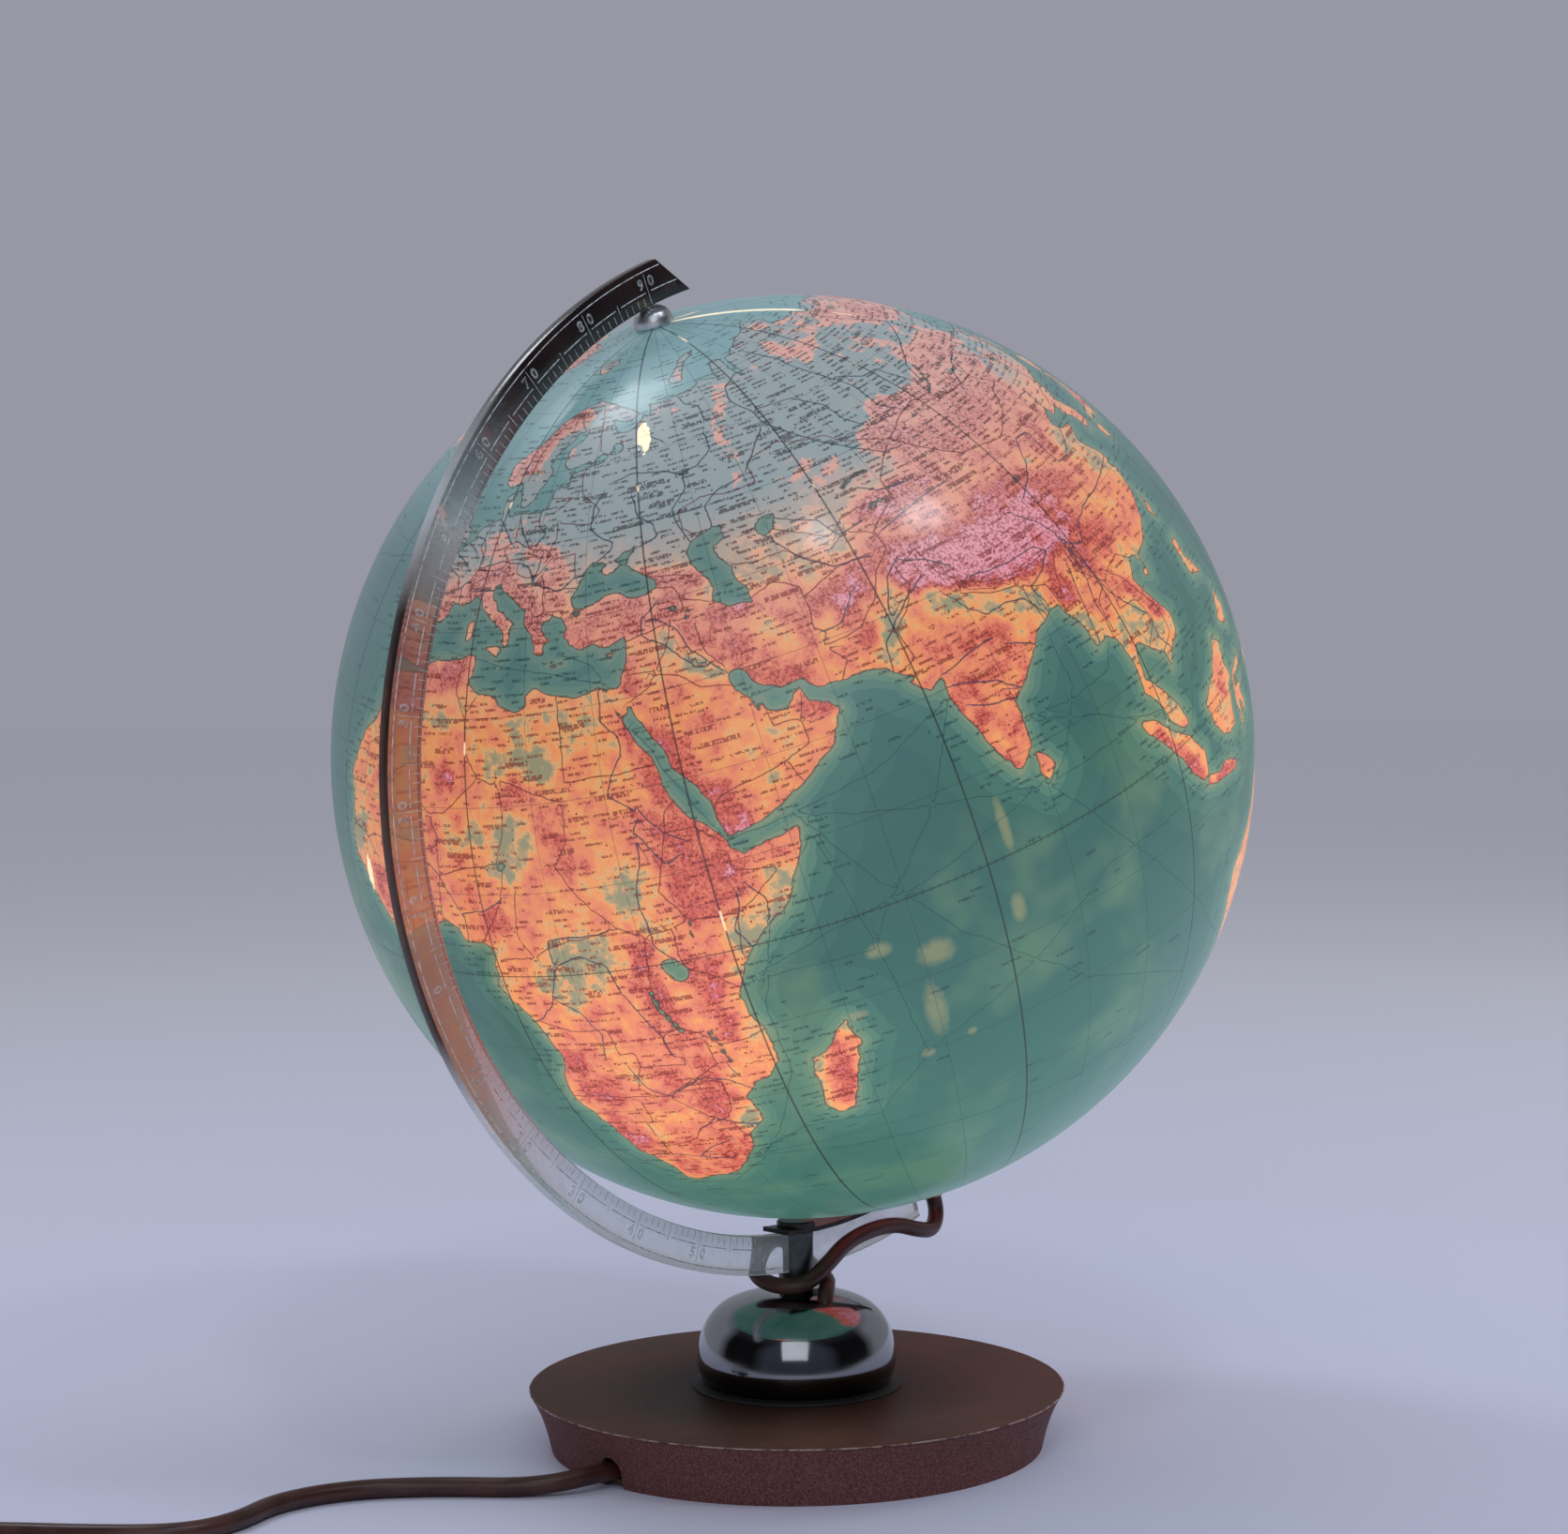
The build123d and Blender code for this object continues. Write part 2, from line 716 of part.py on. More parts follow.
# ---- everything, written out -------------------------------------------------------------------
nodes = {
    "base_shell": base_shell(),
    "base_weight": base_weight(),
    "bottom_plate": bottom_plate(),
    "base_felt": base_felt(),
    "plate_screws": plate_screws(),
    "neck_rod": neck_rod(),
    "rod_washer": rod_washer(),
    "rod_nut": rod_nut(),
    "dome_gasket": dome_gasket(),
    "dome_cover": dome_cover(),
    "neck_post": neck_post(),
    "grub_screw": grub_screw(),
    "meridian_arm": meridian_arm(),
    "north_pin": north_pin(),
    "lamp_strap": lamp_strap(),
    "strap_cap": strap_cap(),
    "cap_screws": cap_screws(),
    "lamp_tube": lamp_tube(),
    "tube_nuts": tube_nuts(),
    "lamp_holder": lamp_holder(),
    "holder_sleeve": holder_sleeve(),
    "holder_contact": holder_contact(),
    "bulb_cap": bulb_cap(),
    "bulb_glass": bulb_glass(),
    "bulb_filament": bulb_filament(),
    "lamp_cores": lamp_cores(),
    "northern_hemisphere": half_shell(True),
    "southern_hemisphere": half_shell(False),
    "equator_band": equator_band(),
    "north_hub": north_hub(),
    "north_hub_nut": north_hub_nut(),
    "south_bush": south_bush(),
    "south_bush_nut": south_bush_nut(),
    "terminal_block": terminal_block(),
    "terminal_screws": terminal_screws(),
    "cord_clamp": cord_clamp(),
    "clamp_screws": clamp_screws(),
    "mains_cores": mains_cores(),
    "lamp_cores_foot": lamp_cores_foot(),
    "lamp_lead": lamp_lead(),
    "mains_lead": mains_lead(),
    "mains_lead_coil": mains_lead_coil(),
    "mains_lead_tail": mains_lead_tail(),
    "plug_body": plug_body(),
    "plug_pins": plug_pins(),
}

os.makedirs("parts", exist_ok=True)
for name, shape in nodes.items():
    piece = Compound(children=shape) if isinstance(shape, list) else shape
    export_step(piece, f"parts/{name}.step")
print(len(nodes), "nodes written")
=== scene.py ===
import json
import math

import bmesh
import bpy
import numpy as np
from mathutils import Matrix, Vector, kdtree, noise


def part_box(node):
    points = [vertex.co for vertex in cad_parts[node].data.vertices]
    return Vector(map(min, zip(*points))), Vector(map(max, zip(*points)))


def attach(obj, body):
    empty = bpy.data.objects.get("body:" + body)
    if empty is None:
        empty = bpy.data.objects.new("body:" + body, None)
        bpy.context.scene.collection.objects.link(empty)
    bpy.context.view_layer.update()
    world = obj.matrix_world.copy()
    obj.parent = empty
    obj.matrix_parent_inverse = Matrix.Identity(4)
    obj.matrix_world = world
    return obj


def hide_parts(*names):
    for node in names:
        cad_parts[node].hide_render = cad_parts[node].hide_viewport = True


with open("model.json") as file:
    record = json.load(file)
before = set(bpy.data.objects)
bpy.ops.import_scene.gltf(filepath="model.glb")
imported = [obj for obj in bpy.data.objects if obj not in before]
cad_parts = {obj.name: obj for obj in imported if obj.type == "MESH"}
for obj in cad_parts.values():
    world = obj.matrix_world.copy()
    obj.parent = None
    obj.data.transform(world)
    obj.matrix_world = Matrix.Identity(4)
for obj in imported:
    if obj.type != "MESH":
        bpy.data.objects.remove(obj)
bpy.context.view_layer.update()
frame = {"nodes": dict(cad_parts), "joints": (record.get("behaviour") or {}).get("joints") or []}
nodes = frame["nodes"]
mm = 0.001
noise.seed_set(5)                               # otherwise the coast changes with the clock

spin = frame["joints"][0]                       # the globe turns on this joint
centre = Vector(spin["pos_m"])
northWay = Vector(spin["axis"]).normalized()    # from the globe's centre to its north pole
tilt = math.atan2(-northWay.x, northWay.z)
eastWay = Vector((math.cos(tilt), 0, math.sin(tilt)))
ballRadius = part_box("northern_hemisphere")[1].y
perDegree = math.radians(1) * ballRadius / mm   # millimetres on the ball for each degree
print("frame loaded:", len(nodes), "nodes, ball radius", round(ballRadius, 4))


def deselectAll():
    if bpy.context.object and bpy.context.object.mode != "OBJECT":
        bpy.ops.object.mode_set(mode="OBJECT")
    bpy.ops.object.select_all(action="DESELECT")


def selectOnly(piece):
    deselectAll()
    bpy.context.view_layer.objects.active = piece
    piece.select_set(True)


def editing(piece):
    selectOnly(piece)
    bpy.ops.object.mode_set(mode="EDIT")


def doneEditing():
    bpy.ops.object.mode_set(mode="OBJECT")
    return bpy.context.object


def newPiece(name):
    piece = bpy.context.object
    piece.name = name
    piece.data.name = name
    bpy.ops.object.transform_apply(location=True, rotation=True, scale=True)
    return piece


def selectFaces(piece, wanted):
    editing(piece)
    bpy.ops.mesh.select_mode(type="FACE")
    mesh = bmesh.from_edit_mesh(piece.data)
    for face in mesh.faces:
        face.select_set(bool(wanted(face)))
    bmesh.update_edit_mesh(piece.data)


def applyAll(piece):
    selectOnly(piece)
    for modifier in list(piece.modifiers):
        bpy.ops.object.modifier_apply(modifier=modifier.name)


def smooth(piece, degrees=35):
    selectOnly(piece)
    bpy.ops.object.shade_smooth_by_angle(angle=math.radians(degrees))
    return piece


def joined(name, pieces):
    deselectAll()
    for piece in pieces:
        piece.select_set(True)
    bpy.context.view_layer.objects.active = pieces[0]
    bpy.ops.object.join()
    whole = bpy.context.object
    whole.name = name
    whole.data.name = name
    return whole


def toMesh(piece):
    selectOnly(piece)
    bpy.ops.object.convert(target="MESH")
    return bpy.context.object


def outlined(name, outline, closed=False):
    # one vertex, extruded from point to point in the XZ plane
    deselectAll()
    bpy.ops.mesh.primitive_plane_add(size=mm, location=(0, 0, 0))
    piece = newPiece(name)
    editing(piece)
    bpy.ops.mesh.select_mode(type="VERT")
    bpy.ops.mesh.select_all(action="SELECT")
    bpy.ops.mesh.merge(type="CENTER")
    spots = [Vector((x, 0, z)) for x, z in outline]
    bpy.ops.transform.translate(value=spots[0])
    for here, there in zip(spots, spots[1:]):
        bpy.ops.mesh.extrude_region_move(TRANSFORM_OT_translate={"value": there - here})
    if closed:
        bpy.ops.mesh.select_all(action="SELECT")
        bpy.ops.mesh.edge_face_add()
        bpy.ops.mesh.delete(type="ONLY_FACE")
    return piece


def turned(name, outline, steps=96, closed=False):
    # a profile of (radius, height) points spun round the upright axis
    outlined(name, outline, closed)
    bpy.ops.mesh.select_all(action="SELECT")
    bpy.ops.mesh.spin(steps=steps, angle=math.tau, center=(0, 0, 0), axis=(0, 0, 1))
    bpy.ops.mesh.select_all(action="SELECT")
    bpy.ops.mesh.remove_doubles(threshold=0.004 * mm)
    bpy.ops.mesh.normals_make_consistent(inside=False)
    return doneEditing()


def eased(part):
    # from 0 to 1 with a gentle start and end
    return part * part * (3 - 2 * part)


def softened(outline, radius, steps=4):
    # an outline with its inner corners rounded
    spots = [Vector(p) for p in outline]
    rounded = [spots[0]]
    for before, here, after in zip(spots, spots[1:], spots[2:]):
        back = before - here
        ahead = after - here
        cut = min(radius, 0.45 * back.length, 0.45 * ahead.length)
        start = here + back.normalized() * cut
        end = here + ahead.normalized() * cut
        for step in range(steps + 1):
            t = step / steps
            rounded.append(start * (1 - t) ** 2 + here * 2 * t * (1 - t) + end * t ** 2)
    rounded.append(spots[-1])
    return [tuple(p) for p in rounded]


def flowing(outline, steps=5):
    # a smooth line through the given points
    spots = [Vector(p) for p in outline]
    padded = [spots[0] * 2 - spots[1]] + spots + [spots[-1] * 2 - spots[-2]]
    line = []
    for a, b, c, d in zip(padded, padded[1:], padded[2:], padded[3:]):
        for step in range(steps):
            t = step / steps
            line.append(0.5 * (b * 2 + (c - a) * t + (a * 2 - b * 5 + c * 4 - d) * t ** 2
                               + (b * 3 - a - c * 3 + d) * t ** 3))
    line.append(spots[-1])
    return [tuple(p) for p in line]


def leaned(piece):
    # from upright at the origin to the globe's own axis
    piece.data.transform(Matrix.Translation(centre) @ Matrix.Rotation(-tilt, 4, "Y"))
    return piece


def settle(piece, finish, body, slot, *stoodFor):
    piece.data.materials.clear()
    piece.data.materials.append(finish)
    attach(piece, body)
    if stoodFor:
        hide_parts(*stoodFor)
    return piece


class Wire:
    # an output socket that can be added, multiplied and compared
    def __init__(self, finish, socket):
        self.finish = finish
        self.socket = socket

    def __add__(self, other):
        return self.finish.maths("ADD", self, other)

    def __radd__(self, other):
        return self.finish.maths("ADD", other, self)

    def __sub__(self, other):
        return self.finish.maths("SUBTRACT", self, other)

    def __rsub__(self, other):
        return self.finish.maths("SUBTRACT", other, self)

    def __mul__(self, other):
        return self.finish.maths("MULTIPLY", self, other)

    def __rmul__(self, other):
        return self.finish.maths("MULTIPLY", other, self)

    def __lt__(self, other):
        return self.finish.maths("LESS_THAN", self, other)

    def __gt__(self, other):
        return self.finish.maths("GREATER_THAN", self, other)

    def __abs__(self):
        return self.finish.maths("ABSOLUTE", self)

    def floor(self):
        return self.finish.maths("FLOOR", self)

    def fraction(self):
        return self.finish.maths("FRACT", self)

    def highest(self, other):
        return self.finish.maths("MAXIMUM", self, other)

    def lowest(self, other):
        return self.finish.maths("MINIMUM", self, other)

    def between(self, low, high):
        # 0 at low, 1 at high, held outside
        return self.finish.node("ShaderNodeMapRange", {"clamp": True},
                                {"Value": self, "From Min": low, "From Max": high})


def paint(red, green, blue):
    # a colour given as it looks, from 0 to 255
    shares = [level / 255 for level in (red, green, blue)]
    linear = [share / 12.92 if share < 0.0405 else ((share + 0.055) / 1.055) ** 2.4 for share in shares]
    return (*linear, 1.0)


class Finish:
    # the nodes of one material, or of the world
    def __init__(self, name, owner=None):
        self.owner = owner or bpy.data.materials.new(name)
        self.owner.use_nodes = True
        self.tree = self.owner.node_tree
        self.tree.nodes.clear()

    def node(self, kind, settings=None, values=(), output=0):
        made = self.tree.nodes.new(kind)
        for key, value in (settings or {}).items():
            if key == "stops":
                self.setStops(made.color_ramp, value)
            else:
                setattr(made, key, value)
        pairs = values.items() if isinstance(values, dict) else enumerate(values)
        for key, value in pairs:
            if isinstance(value, Wire):
                self.tree.links.new(value.socket, made.inputs[key])
            else:
                made.inputs[key].default_value = value
        return Wire(self, made.outputs[output])

    def setStops(self, ramp, stops):
        while len(ramp.elements) < len(stops):
            ramp.elements.new(1.0)
        for element, (place, colour) in zip(ramp.elements, stops):
            element.position = place
            element.color = colour

    def maths(self, operation, *values):
        return self.node("ShaderNodeMath", {"operation": operation}, values)

    def axes(self, vector):
        made = self.node("ShaderNodeSeparateXYZ", None, {0: vector}).socket.node
        return [Wire(self, socket) for socket in made.outputs]

    def place(self):
        return self.node("ShaderNodeTexCoord", output="Object")

    def noise(self, scale, detail=3.0, roughness=0.5, at=None):
        values = {"Vector": at or self.place(), "Scale": scale, "Detail": detail,
                  "Roughness": roughness}
        return self.node("ShaderNodeTexNoise", None, values)

    def mix(self, factor, one, other, blend="MIX"):
        settings = {"data_type": "RGBA", "blend_type": blend}
        return self.node("ShaderNodeMix", settings, {0: factor, 6: one, 7: other}, 2)

    def ramp(self, value, stops, interpolation="LINEAR"):
        made = self.node("ShaderNodeValToRGB", {"stops": stops}, {"Fac": value})
        made.socket.node.color_ramp.interpolation = interpolation
        return made

    def bump(self, height, strength, distance):
        values = {"Height": height, "Strength": strength, "Distance": distance}
        return self.node("ShaderNodeBump", None, values)

    def surface(self, **values):
        named = {key.replace("_", " "): value for key, value in values.items()}
        return self.node("ShaderNodeBsdfPrincipled", None, named)

    def done(self, shader, output="ShaderNodeOutputMaterial"):
        end = self.tree.nodes.new(output)
        self.tree.links.new(shader.socket, end.inputs["Surface"])
        return self.owner


def flecked(name, colour, fleck, scale, roughness, metallic=0.0, depth=0.0, coat=0.0, **more):
    # a plain finish with two tones, uneven gloss and a fine grain
    f = Finish(name)
    grain = f.noise(scale, 4.0)
    broad = f.noise(scale / 12, 2.0)
    tone = f.mix((grain * 0.6 + broad * 0.4).between(0.35, 0.65), colour, fleck)
    gloss = roughness + (broad - 0.5) * 0.25
    values = {"Base Color": tone, "Roughness": gloss, "Metallic": metallic, "Coat Weight": coat, **more}
    if depth:
        values["Normal"] = f.bump(grain, 0.5, depth)
    return f.done(f.node("ShaderNodeBsdfPrincipled", None, values))


view = {
    "azimuth": -44.909,
    "elevation": 3.008,
    "roll": -0.354,
    "distance": 1.129554,
    "target": (0.000778, -0.000995, 0.223823),
    "lens": 79.197,
    "shift": (-0.0081, -0.0007),
}


def makeCamera():
    around = math.radians(view["azimuth"])
    above = math.radians(view["elevation"])
    roll = math.radians(view["roll"])
    back = Vector((math.sin(around) * math.cos(above), -math.cos(around) * math.cos(above),
                   math.sin(above)))
    level = Vector((math.cos(around), math.sin(around), 0))
    right = level * math.cos(roll) + back.cross(level) * math.sin(roll)
    up = back.cross(right)
    bpy.ops.object.camera_add(location=Vector(view["target"]) + back * view["distance"])
    camera = bpy.context.object
    camera.rotation_euler = Matrix((right, up, back)).transposed().to_euler()
    camera.data.lens = view["lens"]
    camera.data.shift_x, camera.data.shift_y = view["shift"]
    camera.data.clip_end = 50
    bpy.context.scene.camera = camera


studio = {
    "floorSize": 12.0,
    "floorNear": paint(205, 206, 226),
    "floorFar": paint(216, 216, 222),
    "nearReach": (0.3, 1.4),               # metres over which the floor's tone changes
    "around": paint(151, 152, 164),        # what the camera sees past the floor
    "wall": paint(150, 151, 160),          # the room, as the pieces reflect it
    "ceiling": paint(222, 224, 236),
    "mirrored": paint(60, 62, 68),         # the ceiling, as the chrome shows it
    "dark": paint(24, 22, 24),
    "front": paint(70, 74, 86),
    "lights": [                            # name, place, looks at, width and height, watts, colour
        ("windowBox", (-1.1, -1.04, 0.8), (0, 0, 0.1), (0.9, 1.1), 3.4, (0.94, 0.97, 1.0)),
        ("sideBox", (1.5, -0.35, 1.1), (0, 0, 0.2), (0.7, 0.7), 4.0, (0.96, 0.97, 1.0)),
        ("paneRight", (0.06, -0.81, 1.39), (0, 0, 0.22), (0.24, 0.16), 2.6, (0.82, 0.91, 1.0)),
        ("paneLeft", (-0.49, -0.69, 1.39), (0, 0, 0.22), (0.14, 0.16), 1.6, (0.82, 0.91, 1.0)),
        ("paneBack", (-0.12, 0.76, 1.4), (0, 0, 0.22), (0.3, 0.45), 3.4, (0.86, 0.93, 1.0)),
    ],
    "unmirrored": ["sideBox"],             # lights that the chrome doesn't show
}


def makeFloor():
    deselectAll()
    bpy.ops.mesh.primitive_circle_add(vertices=96, radius=studio["floorSize"] / 2, fill_type="NGON")
    floor = newPiece("studioFloor")
    f = Finish("paleCloth")
    x, y, _ = f.axes(f.place())
    far = f.maths("SQRT", x * x + y * y).between(*studio["nearReach"])
    weave = f.noise(900, 2.0)
    tone = f.mix(far, studio["floorNear"], studio["floorFar"])
    shader = f.surface(Base_Color=tone, Roughness=0.8 + (weave - 0.5) * 0.1,
                       Normal=f.bump(weave, 0.15, 0.1 * mm))
    floor.data.materials.append(f.done(shader))


def makeWorld():
    world = bpy.data.worlds.new("studio")
    bpy.context.scene.world = world
    f = Finish("studio", world)
    x, y, z = f.axes(f.node("ShaderNodeTexCoord", output="Generated"))
    around = math.radians(view["azimuth"])
    facing = x * math.sin(around) - y * math.cos(around)       # 1 towards the camera's side of the room
    low = f.mix(facing.between(-0.3, 0.0), studio["wall"], studio["dark"])
    low = f.mix(facing.between(0.6, 0.8), low, studio["front"])
    seen, glossy, through = [f.node("ShaderNodeLightPath", output=f"Is {kind} Ray")
                             for kind in ("Camera", "Glossy", "Transmission")]
    ceiling = f.mix(glossy, studio["ceiling"], studio["mirrored"])
    room = f.mix(z.between(0.5, 0.85), low, ceiling)
    colour = f.mix(seen.highest(through), room, studio["around"])
    background = f.node("ShaderNodeBackground", None, {"Color": colour, "Strength": 1.0})
    f.done(background, "ShaderNodeOutputWorld")


def makeLights():
    for name, spot, aim, (width, height), watts, colour in studio["lights"]:
        bpy.ops.object.light_add(type="AREA", location=spot)
        light = bpy.context.object
        light.name = name
        light.rotation_euler = (Vector(aim) - Vector(spot)).to_track_quat("-Z", "Y").to_euler()
        light.data.shape = "RECTANGLE"
        light.data.size = width
        light.data.size_y = height
        light.data.energy = watts
        light.data.color = colour
        light.visible_glossy = name not in studio["unmirrored"]


bpy.context.scene.view_settings.view_transform = "Standard"
makeCamera()
makeFloor()
makeWorld()
makeLights()
print("camera, floor and lights set")


lamp = {
    "radius": 2.7 * mm,
    "length": 0.229,
    "exit": (0.0662, 0.0, 0.0746),
    "route": [
        (62.2, 0, 83.7), (67.2, 0, 72.7), (67.3, -1.0, 66.3), (62.5, -3.2, 62.4),
        (54.0, -5.4, 63.8), (39.0, -6.2, 68.4), (18.0, -7.2, 66.2), (3.5, -10.4, 59.4),
        (-6.0, -10.6, 54.4), (-12.4, -3.4, 53.8), (-13.2, 6.4, 56.4), (-9.0, 10.8, 62.8),
        (0.5, 11.2, 66.0), (9.6, 9.8, 61.4), (12.2, 2.6, 54.4), (8.4, -6.4, 53.9),
        (1.6, -12.8, 53.2), (-3.2, -16.4, 48.6), (-3.6, -16.6, 34.0), (-6.2, -17.2, 16.0),
        (-10.0, -12.6, 7.2), (-16.0, -7.5, 7.0),
    ],
}
mains = {
    "radius": 3.0 * mm,
    "length": 1.8,
    "exit": (-0.0815, 0.0003, 0.0054),
    "route": [
        (-56, 0, 5.4), (-85, 0.3, 5.5), (-106, 9, 3.02), (-124, 31, 3.02), (-146, 49, 3.02),
        (-172, 54, 3.02), (-194, 44, 3.02), (-213, 45, 3.02), (-232, 64, 3.02), (-252, 90, 3.02),
        (-276, 110, 3.02),
    ],
    "tail": [
        (-269.2, 97.0, 14.2), (-274.5, 117.0, 12.6), (-284.0, 134.0, 8.8), (-297.0, 148.0, 7.2),
    ],
    "coilCentre": (-306, 87),
    "coilStart": 37.5,                     # degrees round the coil where the lead joins it
    "turns": [                             # radius and height of each turn
        (38.0, 3.1), (32.0, 3.1), (26.0, 3.1), (29.0, 8.4), (35.2, 8.4), (32.4, 13.8), (38.0, 14.2),
    ],
    "turnPoints": 24,
    "unwound": 0.94,                       # share of the last turn that is wound
    "shift": 0.3,                          # share of a turn in which it moves to the next place
}


def cordCurve(name, route, radius):
    data = bpy.data.curves.new(name, "CURVE")
    data.dimensions = "3D"
    spline = data.splines.new("NURBS")
    spline.points.add(len(route) - 1)
    for point, spot in zip(spline.points, route):
        point.co = (*(v * mm for v in spot), 1.0)
    spline.order_u = 3
    spline.use_endpoint_u = True
    spline.resolution_u = 6
    data.bevel_depth = radius
    data.bevel_resolution = 5
    data.use_fill_caps = True
    piece = bpy.data.objects.new(name, data)
    bpy.context.scene.collection.objects.link(piece)
    return piece


def coilPoints():
    x0, y0 = mains["coilCentre"]
    count = mains["turnPoints"]
    turns = mains["turns"]
    spots = []
    for step in range(1, round((len(turns) - 1 + mains["unwound"]) * count)):
        turn, part = divmod(step / count, 1.0)
        here = turns[int(turn)]
        ahead = turns[min(int(turn) + 1, len(turns) - 1)]
        move = eased(max(0.0, (part - 1 + mains["shift"]) / mains["shift"]))
        radius = here[0] + (ahead[0] - here[0]) * move
        height = here[1] + (ahead[1] - here[1]) * move
        angle = math.radians(mains["coilStart"]) + math.tau * step / count
        spots.append((x0 + radius * math.cos(angle), y0 + radius * math.sin(angle), height))
    return spots


def leadFinish(name):
    f = Finish(name)
    grain = f.noise(700, 3.0)
    wear = f.noise(60, 3.0)
    tone = f.mix(wear.between(0.4, 0.68), paint(58, 30, 26), paint(84, 50, 42))
    shader = f.surface(Base_Color=tone, Roughness=0.36 + (wear - 0.5) * 0.3,
                       Normal=f.bump(grain, 0.25, 0.12 * mm))
    return f.done(shader)


leadSheath = leadFinish("leadSheath")
lampLead = cordCurve("lampLead", lamp["route"], lamp["radius"])
settle(lampLead, leadSheath, "stand", "lead_sheath", "lamp_lead")


plug = {
    "face": 35.0,                          # width at the widest
    "length": 34.0,
    "neck": (7.0, 9.4),                    # length and thickness of the stretch round the lead
    "steps": [                             # then how far each goes forward, how much wider and higher
        (4, 1.0, 1.02), (9, 1.75, 1.2), (7, 1.42, 1.12), (7, 1.28, 1.02), (5, 1.05, 1.0),
    ],
    "rim": 1.1,
    "sunk": 0.5,                           # depth of the face behind its rim
    "rounding": 1.6,
    "pin": [(0, 0), (2.0, 0), (2.0, 17.2), (1.7, 18.4), (1.0, 19.0), (0, 19.0)],
    "pinsApart": 18.6,
    "pinsSunk": 0.6,
}


def plugPlace():
    # the plug lies in line with the end of the lead
    before, tailEnd = [Vector(spot) for spot in mains["tail"][-2:]]
    heading = math.atan2(tailEnd.y - before.y, tailEnd.x - before.x)
    return Matrix.Translation(tailEnd * mm) @ Matrix.Rotation(heading, 4, "Z")


def makePlugBody():
    neck, thick = plug["neck"]
    deselectAll()
    bpy.ops.mesh.primitive_cube_add(size=1)
    bpy.ops.transform.resize(value=(neck * mm, thick * mm, thick * mm))
    bpy.ops.transform.translate(value=(neck / 2 * mm, 0, 0))
    body = newPiece("plugBody")
    selectFaces(body, lambda face: face.normal.x > 0.9)
    end = neck
    for forward, wide, high in plug["steps"]:
        end += forward
        bpy.ops.mesh.extrude_region_move(TRANSFORM_OT_translate={"value": (forward * mm, 0, 0)})
        bpy.ops.transform.resize(value=(1, wide, high), center_override=(end * mm, 0, 0))
    bpy.ops.mesh.inset(thickness=plug["rim"] * mm, depth=0)
    bpy.ops.mesh.extrude_region_move(TRANSFORM_OT_translate={"value": (-plug["sunk"] * mm, 0, 0)})
    doneEditing()
    edges = body.modifiers.new("edges", "BEVEL")
    edges.width = plug["rounding"] * mm
    edges.segments = 3
    edges.limit_method = "ANGLE"
    rounded = body.modifiers.new("rounded", "SUBSURF")
    rounded.levels = 2
    rounded.render_levels = 2
    applyAll(body)
    widest = max(vertex.co.y for vertex in body.data.vertices) * 2
    longest = max(vertex.co.x for vertex in body.data.vertices)
    sizes = (plug["length"] * mm / longest, plug["face"] * mm / widest, 1, 1)
    body.data.transform(Matrix.Diagonal(sizes))
    body.data.transform(plugPlace())
    return smooth(body, 60)


def makePlugPins():
    pins = []
    for side in (-0.5, 0.5):
        pin = turned("pin", [(r * mm, z * mm) for r, z in plug["pin"]], 24)
        start = Vector((plug["length"] - plug["pinsSunk"], side * plug["pinsApart"], 0)) * mm
        pin.data.transform(Matrix.Translation(start) @ Matrix.Rotation(math.pi / 2, 4, "Y"))
        pin.data.transform(plugPlace())
        pins.append(pin)
    return smooth(joined("plugPins", pins))


plugBody = makePlugBody()
plugPins = makePlugPins()
plastic = flecked("plugPlastic", paint(46, 28, 26), paint(58, 36, 32), 500, 0.32, depth=0.05 * mm)
settle(plugBody, plastic, "stand", "plug_plastic", "plug_body")
nickel = flecked("nickelPlate", paint(205, 200, 186), paint(178, 168, 148), 300, 0.22, 1.0)
settle(plugPins, nickel, "stand", "pin_brass", "plug_pins")
mainsRoute = mains["route"] + coilPoints() + mains["tail"]
mainsLead = cordCurve("mainsLead", mainsRoute, mains["radius"])
settle(mainsLead, leadSheath, "stand", "lead_sheath",
       "mains_lead", "mains_lead_coil", "mains_lead_tail")
print("leads and plug made")
